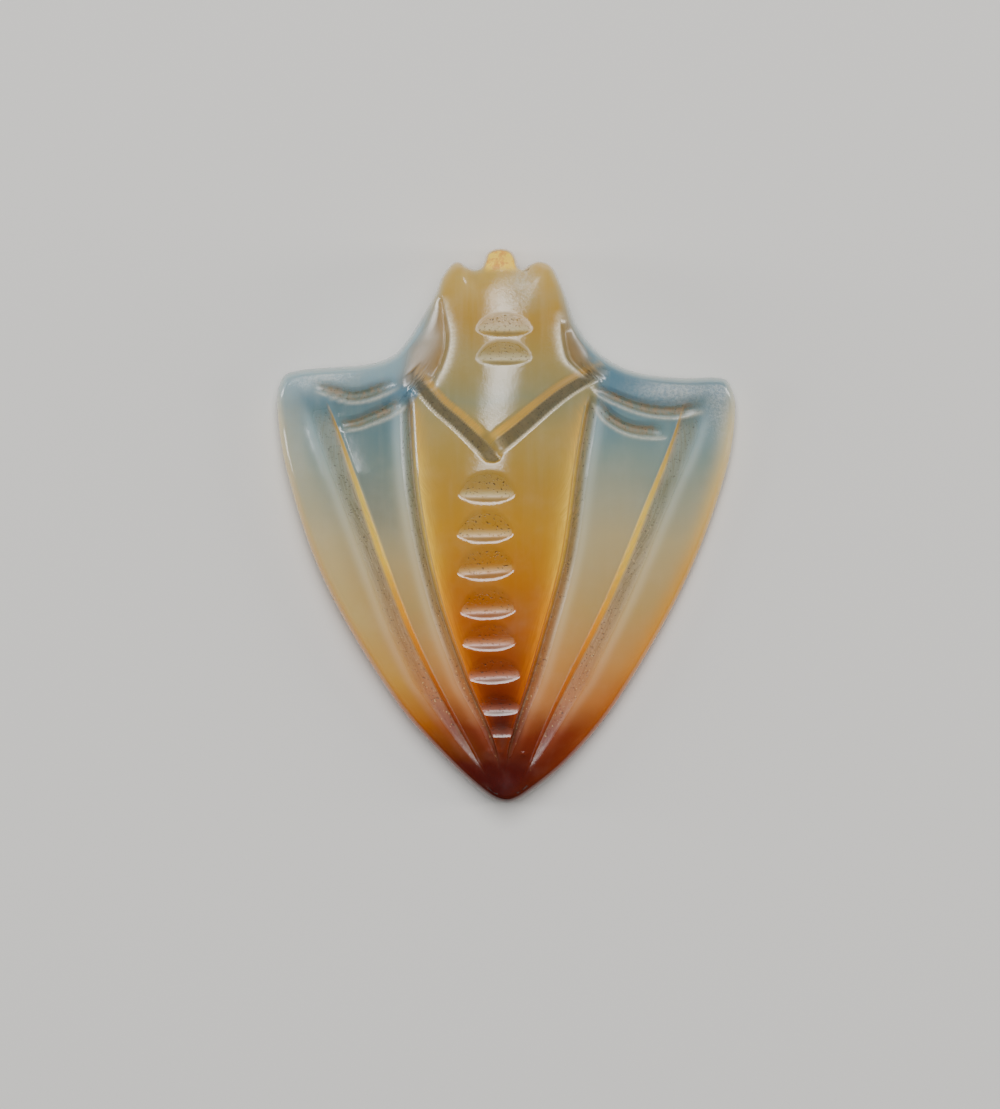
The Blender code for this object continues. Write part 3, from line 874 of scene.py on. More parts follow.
    def relief(self, x: np.ndarray, y: np.ndarray) -> tuple[np.ndarray, Marks]:
        """Height of the carved face and the marks of its cutting.

        The dome is lowered by the long grooves, swelled a little between them, cut along
        the paths and across the crest, and given a slow unevenness of a few sines.

        Args:
            x: Places across the stone.
            y: Places along the stone.

        Returns:
            The height at each point, and the marks.
        """
        body = self.body
        marks = Marks.blank(x.shape)
        z = self.crest.dome(body, x, y)
        grooves = self.long_grooves()
        for groove in grooves + self.flanks():
            z = z - groove.lower(body, x, y, marks)
        z = z + self.panel_swell(x, y, grooves)
        self.mark_body(x, y, grooves, marks)
        first, second = (np.sin(across * x + along * y) for across, along in self.waves)
        z = z + self.ripple * first * second
        for cut in self.path_cuts():
            z = z - cut.lower(body, x, y, marks)
        for spot in self.spots():
            z = z + spot.add(body, x, y)
        for spot in self.worn_sheen():
            marks.deepen("frost_and_sheen", spot.add(body, x, y))
        from_nub = np.abs(x - body.place(((self.nub_place, 0.0),))[0, 0])
        marks.nub = smooth_step(body.share(y), *self.nub_from) * (1 - smooth_step(from_nub, *self.nub_reach))
        marks.frost_and_sheen = marks.frost_and_sheen * (1 - marks.nub)
        for notch in self.notches():
            z = notch.carve(body, x, y, z, self.crest, marks)
        return z, marks

    def mark_body(self, x: np.ndarray, y: np.ndarray, grooves: list[LongGroove], marks: Marks) -> None:
        """Mark the body, the worn crest of the thorax and the shaded panel of the left wing.

        Args:
            x: Places across the stone.
            y: Places along the stone.
            grooves: The four long grooves, left to right.
            marks: Marks to add to.
        """
        body, share = self.body, self.body.share(y)
        marks.body = self.body_mask(x, y, grooves[1], grooves[2])
        off_crest = np.abs(x - self.crest.line_x(body, y))
        near_crest = 1 - smooth_step(off_crest, *self.border)
        marks.deepen("satin", near_crest * smooth_step(share, *self.satin_from))
        panel = smooth_step(grooves[1].line_x(body, y) - x, *self.border) * (x > grooves[0].line_x(body, y))
        marks.shade = panel * window(share, self.shade_from, self.shade_until)

    def side_lines(self, left: LongGroove, right: LongGroove) -> list[Line]:
        """Lines along the two sides of the body: the abdomen's walls, then the thorax's edges.

        Args:
            left: The groove on the abdomen's left.
            right: The groove on its right.

        Returns:
            The left and the right line.
        """
        body = self.body

        def line(groove: LongGroove, thorax: Places) -> Line:
            """One side's line."""
            curve = smooth_curve(body.place(thorax))

            def place(y: np.ndarray) -> np.ndarray:
                """Place across the stone at the lengths y."""
                upper, lower = np.interp(y, curve[:, 1], curve[:, 0]), groove.line_x(body, y)
                return lower + (upper - lower) * smooth_step(body.share(y), *self.neck)

            return place

        return [line(left, self.thorax_left), line(right, self.thorax_right)]

    def body_mask(self, x: np.ndarray, y: np.ndarray, left: LongGroove, right: LongGroove) -> np.ndarray:
        """Mark of the abdomen, thorax and head.

        The border is sharp along the abdomen, a little outside its right wall, and soft
        and farther out beside the thorax. It fades out above the tail.

        Args:
            x: Places across the stone.
            y: Places along the stone.
            left: The groove on the abdomen's left.
            right: The groove on its right.

        Returns:
            The mark at each point.
        """
        first, last = self.side_lines(left, right)
        share = self.body.share(y)
        above = smooth_step(share, *self.thorax_from)
        on_left, on_right, on_right_above = self.body_outside
        from_right = last(y) - x + on_right * (1 - above) + on_right_above * above
        inside = np.minimum(x - first(y) + on_left * above, from_right)
        soft = self.body_soft[0] + self.body_soft[1] * above
        return np.clip(0.5 + inside / (2 * soft), 0.0, 1.0) * smooth_step(share, *self.body_from)

    def panel_swell(self, x: np.ndarray, y: np.ndarray, grooves: list[LongGroove]) -> np.ndarray:
        """Soft swell of the panels between the long grooves: a half sine across each panel.

        Args:
            x: Places across the stone.
            y: Places along the stone.
            grooves: The four long grooves, left to right.

        Returns:
            The height of the swell at each point.
        """
        body = self.body
        swell = np.zeros(x.shape)
        for inner, outer in ((grooves[1], grooves[0]), (grooves[2], grooves[3])):
            start = inner.line_x(body, y) + inner.side.value * inner.width_at(body, y)
            end = outer.line_x(body, y)
            share = np.clip((x - start) / (end - start), 0.0, 1.0)
            swell += self.swell * np.sin(math.pi * share) * inner.strength(body, y)
        return swell

    def rail_lines(self) -> tuple[list[Line], list[int]]:
        """Lines on which the rails of the grid lie.

        Returns:
            The lines, left to right, and the number of columns in each strip between them.
        """
        body, grooves = self.body, self.long_grooves()
        sides = self.side_lines(grooves[1], grooves[2])
        lines_at = [lambda y: grooves[0].line_x(body, y), *sides, lambda y: grooves[3].line_x(body, y)]

        def beside(line: Line, groove: LongGroove, width: Callable[[Body, np.ndarray], np.ndarray]) -> Line:
            """Line at a distance outwards from a groove's wall."""
            return lambda y: line(y) + groove.side.value * width(body, y)

        lines = []
        for line, groove in zip(lines_at[:2], grooves[:2]):
            lines += [beside(line, groove, groove.width_at), beside(line, groove, groove.wall_at), line]
        lines.append(lambda y: self.crest.line_x(body, y))
        for line, groove in zip(lines_at[2:], grooves[2:]):
            lines += [line, beside(line, groove, groove.wall_at), beside(line, groove, groove.width_at)]
        wing, abdomen = self.groove_columns
        half = [self.margin_columns, wing, self.wall_columns, self.panel_columns, abdomen, self.wall_columns,
                self.back_columns]
        return lines, half + half[::-1]

    def plan(self) -> np.ndarray:
        """Plan of the face as a grid of points.

        Rails run from the tail to the head and lie on the edges of the cuts. The rows
        follow the outline at the tail, run straight across the wings and fan out to follow
        the shoulders and the head: each row's straight place plus the ends' offsets, which
        fade in by a smooth step.

        Returns:
            Array of rows by columns by two.
        """
        bottom, right, top, left, _ = self.outline.edges(self.body)
        share = np.linspace(0.0, 1.0, self.rows + 1)
        tail_pull = np.clip(1 - share / self.tail_fan, 0.0, 1.0) ** 2
        head_pull = smooth_step(share, *self.head_fan)
        low, high = bottom[:, 1].min(), top[:, 1].max()

        def reach(start: float, end: float) -> np.ndarray:
            """Lengths of the rows on a rail between its own start and end."""
            return low + share * (high - low) + tail_pull * (start - low) + head_pull * (end - high)

        def side_rail(edge: np.ndarray) -> np.ndarray:
            """Rail that follows a side edge of the face."""
            y = reach(edge[0, 1], edge[-1, 1])
            return np.column_stack([np.interp(y, edge[:, 1], edge[:, 0]), y])

        def inner_rail(line: Line) -> np.ndarray:
            """Rail along a line, with its ends on the bottom and top edges."""
            first, last = (float(line(np.array([y]))[0]) for y in (self.body.low[1], self.body.high[1]))
            y = reach(np.interp(first, bottom[:, 0], bottom[:, 1]), np.interp(last, top[:, 0], top[:, 1]))
            x = line(y)
            x[0], x[-1] = first, last
            return np.column_stack([x, y])

        lines, counts = self.rail_lines()
        rails = [side_rail(left)] + [inner_rail(line) for line in lines] + [side_rail(right)]
        strips = []
        for here, there, count in zip(rails, rails[1:], counts):
            part = (np.arange(count) / count)[None, :, None]
            strip = (1 - part) * here[:, None] + part * there[:, None]
            for pull, edge, end in ((tail_pull, bottom, 0), (head_pull ** 4, top, -1)):
                strip = strip + pull[:, None, None] * edge_bow(edge, here[end], there[end], part[0, :, 0])
            strips.append(strip)
        strips.append(rails[-1][:, None])
        return np.concatenate(strips, axis=1)

    def rings(self, edge: np.ndarray) -> list[np.ndarray]:
        """Rings around the rim and the back.

        The front of the rim is a quarter of an ellipse from the face's edge to the widest
        line, the back of it a quarter of a circle to the flat back, and the back itself is
        the last ring drawn in towards the middle by a few shares.

        Args:
            edge: Points around the face's edge, counterclockwise.

        Returns:
            The rings, outwards and then down and in.
        """
        ahead = (np.roll(edge, -1, axis=0) - edge)[:, :2]
        ahead /= np.linalg.norm(ahead, axis=1)[:, None]
        along = ahead + np.roll(ahead, 1, axis=0)
        along /= np.linalg.norm(along, axis=1)[:, None]
        outward = np.column_stack([along[:, 1], -along[:, 0], np.zeros(len(edge))])
        width = self.outline.rounding_at(self.body, edge)[:, None]
        level = edge[:, 2] * self.rim_level
        low = np.minimum(edge[:, 2] * self.back_level, self.back_rounding)
        rings = []
        for angle in np.linspace(0.0, math.pi / 2, self.rim_rings + 1)[1:]:
            ring = edge + outward * width * math.sin(angle)
            ring[:, 2] = level + (edge[:, 2] - level) * math.cos(angle)
            rings.append(ring)
        widest = rings[-1]
        under = np.minimum(width, self.back_rounding)
        for angle in np.linspace(0.0, math.pi / 2, self.under_rings + 1):
            ring = widest - outward * under * (1 - math.cos(angle))
            ring[:, 2] = low * (1 - math.sin(angle))
            rings.append(ring)
        flat = rings[-1]
        for share in self.back_shares:
            rings.append(flat * np.array([share, share, 1.0]))
        return rings

    def build(self) -> bpy.types.Object:
        """Build the stone's mesh and store its marks as attributes.

        Returns:
            The finished object, at the origin.
        """
        plan = self.plan()
        rows, columns = plan.shape[:2]
        x, y = plan[..., 0].ravel(), plan[..., 1].ravel()
        z, marks = self.relief(x, y)
        numbers = np.arange(rows * columns).reshape(rows, columns)
        faces = [np.stack([numbers[:-1, :-1], numbers[:-1, 1:], numbers[1:, 1:], numbers[1:, :-1]], axis=-1)]
        border = np.concatenate([numbers[0, :], numbers[1:, -1], numbers[-1, -2::-1], numbers[-2:0:-1, 0]])
        face = np.column_stack([x, y, z])
        points, last = [face], border
        rings = self.rings(face[border])
        for number, ring in enumerate(rings):
            following = rows * columns + number * len(border) + np.arange(len(border))
            quads = np.stack([last, following, np.roll(following, -1), np.roll(last, -1)], axis=-1)
            faces.append(quads[None])
            points.append(ring)
            last = following
        middle = rings[-1].mean(axis=0)[None]
        points.append(middle)
        quads = np.concatenate([block.reshape(-1, 4) for block in faces])
        fan = np.stack([last, np.full(len(last), rows * columns + len(rings) * len(border)),
                        np.roll(last, -1)], axis=-1)
        coordinates = self.fit(np.concatenate(points))
        piece = new_piece("fly_amulet_stone", coordinates, quads, fan)
        self.store_marks(piece, coordinates, marks, border, len(rings))
        return piece

    def fit(self, points: np.ndarray) -> np.ndarray:
        """Stretch the points so that their box is the CAD box, axis by axis.

        Args:
            points: The stone's points.

        Returns:
            The points in place.
        """
        low, high = points.min(axis=0), points.max(axis=0)
        target_low, target_high = np.array(self.body.low), np.array(self.body.high)
        return target_low + (points - low) * (target_high - target_low) / (high - low)

    def store_marks(self, piece: bpy.types.Object, points: np.ndarray, marks: Marks, border: np.ndarray,
                    rings: int) -> None:
        """Store the marks, and the nearness of the outline, on the mesh.

        Args:
            piece: The stone's object.
            points: Its vertices.
            marks: Marks of the face's own vertices.
            border: Numbers of the vertices around the face.
            rings: Number of rings after the face.
        """
        outline = self.outline.edges(self.body)[4]
        coarse = np.vstack([outline[::self.edge_samples], outline[:1]])
        distance = path_field(points[:, 0], points[:, 1], coarse)[0]
        for mark in fields(marks):
            values = getattr(marks, mark.name)
            around = values[border] if mark.name == "body" else np.zeros(len(border))
            store(piece, mark.name, np.concatenate([values, np.tile(around, rings), [0.0]]))
        # edge: a band along the outline for the rim's own colours and a painted glow of light through the
        # thin rim
        below = 1 - smooth_step(self.body.share(points[:, 1]), *self.edge_until)
        right = smooth_step(points[:, 0], *self.edge_right) * below
        reach = self.edge_reach[0] + (self.edge_reach[1] - self.edge_reach[0]) * right
        store(piece, "edge", bell(distance, reach))
        left = 1 - smooth_step(points[:, 0], *self.margin_left)
        store(piece, "margin", left * np.exp(-((distance / self.margin_reach) ** 4)))


def edge_bow(edge: np.ndarray, here: np.ndarray, there: np.ndarray, part: np.ndarray) -> np.ndarray:
    """How far an edge bows away from the straight line between two of its points.

    Args:
        edge: Samples along the edge, left to right.
        here: Point where the strip starts.
        there: Point where the strip ends.
        part: Shares of the way between them.

    Returns:
        One offset for each share.
    """
    lengths = arc_lengths(edge)
    first, last = (np.interp(point[0], edge[:, 0], lengths) for point in (here, there))
    along = (1 - part) * first + part * last
    on_edge = np.column_stack([np.interp(along, lengths, edge[:, axis]) for axis in (0, 1)])
    return on_edge - (1 - part)[:, None] * here - part[:, None] * there


def new_piece(name: str, points: np.ndarray, quads: np.ndarray, triangles: np.ndarray) -> bpy.types.Object:
    """Make an object from arrays of points and faces.

    Args:
        name: The object's name.
        points: Vertices.
        quads: Faces of four vertices.
        triangles: Faces of three vertices.

    Returns:
        The object, smooth shaded, in the scene.
    """
    mesh = bpy.data.meshes.new(name)
    corners = np.concatenate([quads.ravel(), triangles.ravel()]).astype(np.int32)
    sizes = np.concatenate([np.full(len(quads), 4), np.full(len(triangles), 3)]).astype(np.int32)
    starts = np.concatenate([[0], np.cumsum(sizes)[:-1]]).astype(np.int32)
    mesh.vertices.add(len(points))
    mesh.vertices.foreach_set("co", points.astype(np.float32).ravel())
    mesh.loops.add(len(corners))
    mesh.loops.foreach_set("vertex_index", corners)
    mesh.polygons.add(len(sizes))
    mesh.polygons.foreach_set("loop_start", starts)
    mesh.polygons.foreach_set("loop_total", sizes)
    mesh.update(calc_edges=True)
    mesh.validate()
    mesh.shade_smooth()
    piece = bpy.data.objects.new(name, mesh)
    bpy.context.collection.objects.link(piece)
    return piece


def store(piece: bpy.types.Object, name: str, values: np.ndarray) -> None:
    """Store one number for each vertex as a named attribute."""
    layer = piece.data.attributes.new(name, "FLOAT", "POINT")
    layer.data.foreach_set("value", np.asarray(values, dtype=np.float32))


def linear(red: int, green: int, blue: int) -> tuple[float, float, float, float]:
    """Scene colour of a display colour in 0 to 255."""
    parts = [value / 255 for value in (red, green, blue)]
    return tuple(p / 12.92 if p <= 0.04045 else ((p + 0.055) / 1.055) ** 2.4 for p in parts) + (1.0,)


@dataclass(frozen=True)
class Pattern:
    """Soft noise, with its values from low to high stretched to go from 0 to 1."""

    scale: float
    low: float
    high: float
    detail: float = 3.0
    softness: float = 0.6


class Nodes:
    """Short ways to add and join the nodes of one material."""

    def __init__(self, material: bpy.types.Material) -> None:
        """Start with an empty tree."""
        self.tree = material.node_tree
        self.tree.nodes.clear()

    def add(self, kind: str, **settings: object) -> bpy.types.Node:
        """Add a node and set its properties.

        Args:
            kind: The node's type.
            settings: Its properties, by name.

        Returns:
            The new node.
        """
        node = self.tree.nodes.new(kind)
        for key, value in settings.items():
            setattr(node, key, value)
        return node

    def put(self, socket: Socket, value: Value) -> None:
        """Join an output to a socket, or set the socket's own value.

        Args:
            socket: The input to fill.
            value: An output, or the value to set.
        """
        if isinstance(value, bpy.types.NodeSocket):
            self.tree.links.new(value, socket)
        else:
            socket.default_value = value

    def math(self, operation: str, first: Value, second: Value, clamp: bool = False) -> Socket:
        """Result of a sum on two values.

        Args:
            operation: Kind of sum.
            first: First value.
            second: Second value.
            clamp: Whether the result is held between 0 and 1.

        Returns:
            The result.
        """
        node = self.add("ShaderNodeMath", operation=operation, use_clamp=clamp)
        self.put(node.inputs[0], first)
        self.put(node.inputs[1], second)
        return node.outputs[0]

    def product(self, first: Value, *others: Value) -> Socket:
        """Product of two or more values.

        Args:
            first: First value.
            others: The values to multiply it by, in turn.

        Returns:
            The product.
        """
        result = first
        for other in others:
            result = self.math("MULTIPLY", result, other)
        return result

    def sloped(self, value: Value, gain: float, base: float) -> Socket:
        """Value times the gain, plus the base."""
        return self.math("ADD", self.product(value, gain), base)

    def mix(self, factor: Value, first: Value, second: Value) -> Socket:
        """Blend of two colours.

        Args:
            factor: Share of the second colour.
            first: First colour.
            second: Second colour.

        Returns:
            The blended colour.
        """
        node = self.add("ShaderNodeMix", data_type="RGBA", clamp_factor=True)
        self.put(node.inputs["Factor"], factor)
        self.put(node.inputs["A"], first)
        self.put(node.inputs["B"], second)
        return node.outputs["Result"]

    def ramp(self, factor: Value, stops: Stops) -> Socket:
        """Colour along a ramp of display colours.

        Args:
            factor: Place along the ramp.
            stops: Places on the ramp with their display colours.

        Returns:
            The colour there.
        """
        node = self.add("ShaderNodeValToRGB")
        elements = node.color_ramp.elements
        while len(elements) < len(stops):
            elements.new(0.5)
        for element, (place, colour) in zip(elements, stops):
            element.position = place
            element.color = linear(*colour)
        self.put(node.inputs["Fac"], factor)
        return node.outputs["Color"]

    def noise(self, vector: Value, scale: float, detail: float, softness: float) -> Socket:
        """Value of a soft noise, about 0.5.

        Args:
            vector: Places to read it at.
            scale: Waves in a metre.
            detail: Number of finer waves laid over the first.
            softness: Strength of each finer wave against the one before.

        Returns:
            The noise.
        """
        node = self.add("ShaderNodeTexNoise")
        self.put(node.inputs["Vector"], vector)
        node.inputs["Scale"].default_value = scale
        node.inputs["Detail"].default_value = detail
        node.inputs["Roughness"].default_value = softness
        return node.outputs["Fac"]

    def vector(self, operation: str, vector: Value, by: tuple[float, float, float]) -> Socket:
        """Places multiplied by, or moved by, one number on each axis.

        Args:
            operation: MULTIPLY or ADD.
            vector: The places.
            by: The three numbers.

        Returns:
            The new places.
        """
        node = self.add("ShaderNodeVectorMath", operation=operation)
        self.put(node.inputs[0], vector)
        node.inputs[1].default_value = by
        return node.outputs["Vector"]

    def stretch(self, value: Value, low: float, high: float) -> Socket:
        """Value moved by a smooth step from between low and high to between 0 and 1.

        Args:
            value: The value.
            low: What becomes 0.
            high: What becomes 1.

        Returns:
            The new value.
        """
        node = self.add("ShaderNodeMapRange", interpolation_type="SMOOTHSTEP")
        self.put(node.inputs["Value"], value)
        node.inputs["From Min"].default_value = low
        node.inputs["From Max"].default_value = high
        return node.outputs["Result"]

    def pattern(self, where: Value, kind: Pattern) -> Socket:
        """Stretched noise of one kind, at the places."""
        return self.stretch(self.noise(where, kind.scale, kind.detail, kind.softness), kind.low, kind.high)

    def attribute(self, name: str) -> Socket:
        """Value of a named attribute."""
        return self.add("ShaderNodeAttribute", attribute_name=name).outputs["Fac"]


@dataclass(frozen=True)
class Readings:
    """What the stone's nodes read at each point.

    The share goes from 0 at the tail to 1 at the head, and along is the share with a slow
    drift. The streaks run along the ground side of the long grooves.
    """

    where: Socket
    share: Socket
    along: Socket
    streaks: Socket


@dataclass(frozen=True)
class Ramp:
    """Colours along the stone, laid on by a share where a mark is."""

    mark: str
    share: float
    stops: Stops


@dataclass(frozen=True)
class Tint:
    """One colour, laid on by a share where a mark is."""

    mark: str
    share: float
    colour: Colour


@dataclass(frozen=True)
class Chalcedony:
    """Finish of the stone: banded, translucent, polished, and ground in its cuts, with painted light and
    shade.

    A pair named streaks or grain holds a gain and a base. A range holds what becomes 0 and
    what becomes 1. The smears, the drift, the drawn noise and the bump's waves hold a
    noise's scale, detail and softness. The bump's shares are those of pits, lanes, frost,
    satin and waves.
    """

    wing_colours: Stops = (
        (0.0, (44, 4, 3)), (0.07, (78, 14, 7)), (0.13, (118, 42, 16)), (0.19, (180, 112, 54)),
        (0.26, (190, 134, 70)), (0.367, (178, 146, 88)), (0.4756, (172, 156, 114)), (0.55, (150, 150, 126)),
        (0.61, (122, 138, 128)), (0.67, (102, 130, 134)), (0.74, (80, 115, 132)), (0.82, (90, 124, 138)),
        (0.9, (118, 136, 134)))
    margin: Ramp = Ramp("margin", 0.85, (
        (0.0, (48, 5, 4)), (0.069, (78, 14, 7)), (0.132, (166, 92, 22)), (0.222, (198, 146, 56)),
        (0.331, (192, 164, 100)), (0.439, (192, 168, 116)), (0.548, (174, 166, 134)),
        (0.674, (156, 162, 150)), (0.76, (138, 162, 168))))
    shaded: Tint = Tint("shade", 0.5, (84, 102, 100))
    body: Ramp = Ramp("body", 1.0, (
        (0.0, (44, 4, 2)), (0.1, (54, 7, 4)), (0.15, (78, 13, 4)), (0.2, (114, 36, 4)), (0.26, (142, 62, 5)),
        (0.33, (162, 82, 5)), (0.4, (174, 108, 12)), (0.5, (178, 127, 30)), (0.6, (162, 130, 58)),
        (0.68, (158, 136, 78)), (0.73, (134, 130, 94)), (0.8, (152, 130, 70)), (0.87, (162, 126, 50)),
        (0.95, (182, 150, 76)), (1.0, (198, 158, 76))))
    hollow: Tint = Tint("scoop", 0.75, (148, 112, 54))
    veil: Colour = (224, 216, 190)
    veiled: Pattern = Pattern(420.0, 0.45, 0.8)
    veil_share: float = 0.04
    drawn: tuple[float, float, float] = (1.0, 3.0, 0.6)
    brush_scales: tuple[float, float, float] = (1300.0, 110.0, 110.0)
    brush_range: tuple[float, float] = (0.42, 0.72)
    brush_share: float = 0.07
    cloud: Colour = (140, 142, 112)
    cloudy: Pattern = Pattern(260.0, 0.48, 0.74, 3.0, 0.55)
    cloud_share: float = 0.25
    ground_colours: Stops = (
        (0.0, (54, 8, 4)), (0.13, (116, 40, 8)), (0.2, (154, 86, 10)), (0.3, (136, 90, 10)),
        (0.4, (108, 82, 14)), (0.55, (88, 86, 44)), (0.67, (94, 100, 76)), (0.8, (80, 90, 76)))
    ground_range: tuple[float, float] = (0.35, 0.7)
    ground_streaks: tuple[float, float] = (0.35, 0.62)
    # painted highlight: lighter colours along the soft ridges
    ridge: Ramp = Ramp("ridge", 0.4, (
        (0.0, (90, 30, 20)), (0.12, (160, 88, 60)), (0.2, (212, 162, 120)), (0.35, (220, 194, 150)),
        (0.5, (204, 198, 170)), (0.65, (182, 198, 196)), (0.8, (164, 188, 196))))
    # the rim's own colours, lightened as a painted glow of light through the thin stone
    edge: Ramp = Ramp("edge", 0.85, (
        (0.0, (50, 6, 4)), (0.1, (124, 48, 10)), (0.19, (172, 92, 18)), (0.3, (206, 132, 28)),
        (0.42, (208, 148, 46)), (0.55, (222, 180, 94)), (0.68, (222, 202, 150)), (0.76, (182, 194, 188)),
        (0.86, (148, 166, 168)), (0.95, (190, 176, 138)), (1.0, (222, 176, 92))))
    # painted glow: light through the steep walls of the grooves and the collar
    glow_colours: Stops = (
        (0.0, (90, 20, 4)), (0.15, (158, 60, 2)), (0.22, (208, 108, 2)), (0.33, (246, 156, 14)),
        (0.44, (255, 204, 64)), (0.55, (255, 214, 92)), (0.66, (226, 178, 78)), (0.74, (204, 158, 74)),
        (0.8, (196, 158, 88)))
    glow_range: tuple[float, float] = (0.34, 0.66)
    glow_streaks: tuple[float, float] = (0.5, 0.75)
    # painted sheen: lighter grey-olive in the notches' valleys
    valley_sheen: Ramp = Ramp("valley_sheen", 0.55, (
        (0.1, (110, 50, 34)), (0.2, (168, 100, 74)), (0.3, (190, 128, 78)), (0.42, (198, 160, 88)),
        (0.55, (186, 170, 112)), (0.85, (172, 160, 112))))
    nub: Colour = (255, 210, 48)
    nub_dark: Colour = (226, 156, 34)
    nub_flecks: Pattern = Pattern(1500.0, 0.46, 0.6, 4.0, 0.7)
    nub_share: float = 0.9
    # painted shade in the cuts: dark olive-brown at wall feet, collar floor and notch tail walls
    seam: Tint = Tint("seam", 0.6, (72, 54, 18))
    grain: Pattern = Pattern(4200.0, 0.35, 0.65, 4.0, 0.7)
    # painted sheen laid over the frosted wear
    worn_sheen: Colour = (226, 226, 218)
    frost_and_sheen_grain: tuple[float, float] = (0.25, 0.15)
    # painted highlight colour of the glints
    glinting: Colour = (246, 234, 206)
    glint_grain: tuple[float, float] = (0.35, 0.6)
    dirt: Colour = (140, 112, 78)
    dirt_patches: Pattern = Pattern(1700.0, 0.38, 0.62, 3.0, 0.65)
    dirt_share: float = 0.75
    pit: Colour = (40, 26, 12)
    pit_specks: Pattern = Pattern(6500.0, 0.64, 0.71, 1.0, 0.5)
    pit_share: float = 0.85
    # painted sparkle: specks of light in the ground cuts
    sparkle: Colour = (244, 210, 140)
    sparks: Pattern = Pattern(5200.0, 0.68, 0.74, 1.0, 0.5)
    spark_shift: tuple[float, float, float] = (0.37, 0.37, 0.37)
    spark_until: float = 0.62
    rougher: tuple[tuple[str, float], ...] = (
        ("ground", 0.38), ("pitted", 0.12), ("frost_and_sheen", 0.16), ("satin", 0.05), ("nub", 0.25), ("seam", 0.3),
        ("valley_sheen", 0.24), ("scoop", 0.3), ("matte", 0.34))
    polish: float = 0.09
    smears: tuple[float, float, float] = (900.0, 3.0, 0.6)
    smear_share: float = 0.12
    drift: tuple[float, float, float] = (150.0, 2.0, 0.5)
    drift_share: float = 0.08
    lane_scale: float = 9000.0
    lane_length: float = 22.0
    bump_pits: Pattern = Pattern(6500.0, 0.58, 0.72, 1.0, 0.5)
    bump_waves: tuple[float, float, float] = (600.0, 2.0, 0.5)
    bump_shares: tuple[float, float, float, float, float] = (0.8, 0.4, 0.8, 0.12, 0.8)
    bump_strength: float = 0.5
    bump_distance: float = 0.00005
    refraction: float = 1.72
    subsurface: float = 0.22
    radius: tuple[float, float, float] = (1.0, 0.6, 0.35)
    reach: float = 0.0005

    def make(self, body: Body) -> bpy.types.Material:
        """Make the stone's material.

        Args:
            body: The stone's size.

        Returns:
            The material.
        """
        material = bpy.data.materials.new("banded_chalcedony")
        material.use_nodes = True
        nodes = Nodes(material)
        here = self.read(nodes, body)
        shader = nodes.add("ShaderNodeBsdfPrincipled")
        for name, value in (
                ("Base Color", self.colour(nodes, here)), ("Roughness", self.roughness(nodes, here)),
                ("Normal", self.bump(nodes, here)), ("IOR", self.refraction),
                ("Subsurface Weight", self.subsurface), ("Subsurface Radius", self.radius),
                ("Subsurface Scale", self.reach)):
            nodes.put(shader.inputs[name], value)
        output = nodes.add("ShaderNodeOutputMaterial")
        nodes.put(output.inputs["Surface"], shader.outputs["BSDF"])
        return material

    def read(self, nodes: Nodes, body: Body) -> Readings:
        """Add the nodes that the finish reads from.

        The streaks are a noise of the lane and the share, so they run along the grooves.

        Args:
            nodes: The material's nodes.
            body: The stone's size.

        Returns:
            The readings.
        """
        where = nodes.add("ShaderNodeTexCoord").outputs["Object"]
        parts = nodes.add("ShaderNodeSeparateXYZ")
        nodes.put(parts.inputs[0], where)
        share = nodes.math("DIVIDE", nodes.math("SUBTRACT", parts.outputs["Y"], body.low[1]), body.length)
        cloud = nodes.math("SUBTRACT", nodes.noise(where, *self.drift), 0.5)
        along = nodes.math("ADD", share, nodes.product(cloud, self.drift_share))
        lanes = nodes.add("ShaderNodeCombineXYZ")
        nodes.put(lanes.inputs["X"], nodes.product(nodes.attribute("lane"), self.lane_scale))
        nodes.put(lanes.inputs["Y"], nodes.product(share, self.lane_length))
        return Readings(where, share, along, nodes.noise(lanes.outputs["Vector"], *self.drawn))

    def colour(self, nodes: Nodes, here: Readings) -> Socket:
        """Colour of the stone: its bands, then its cuts, then what wear and dirt add.

        Args:
            nodes: The material's nodes.
            here: The readings.

        Returns:
            The colour.
        """
        return self.worn(nodes, here, self.carved(nodes, here, self.banded(nodes, here)))

    def banded(self, nodes: Nodes, here: Readings) -> Socket:
        """Bands along the length, with soft clouds and brush lines in them.

        The bands differ between the body, the wings and the left margin. The clouds grow
        towards the head.

        Args:
            nodes: The material's nodes.
            here: The readings.

        Returns:
            The colour.
        """
        colour = self.over(nodes, here, nodes.ramp(here.along, self.wing_colours), self.margin)
        colour = self.tinted(nodes, colour, self.shaded)
        colour = self.over(nodes, here, colour, self.body)
        colour = self.tinted(nodes, colour, self.hollow)
        veil = nodes.product(nodes.pattern(here.where, self.veiled), self.veil_share)
        colour = nodes.mix(veil, colour, linear(*self.veil))
        brushed = nodes.noise(nodes.vector("MULTIPLY", here.where, self.brush_scales), *self.drawn)
        brushed = nodes.stretch(brushed, *self.brush_range)
        faint = nodes.product(brushed, here.share, here.share, self.brush_share)
        colour = nodes.mix(faint, colour, linear(*self.veil))
        clouds = nodes.product(nodes.pattern(here.where, self.cloudy), here.share, self.cloud_share)
        return nodes.mix(clouds, colour, linear(*self.cloud))

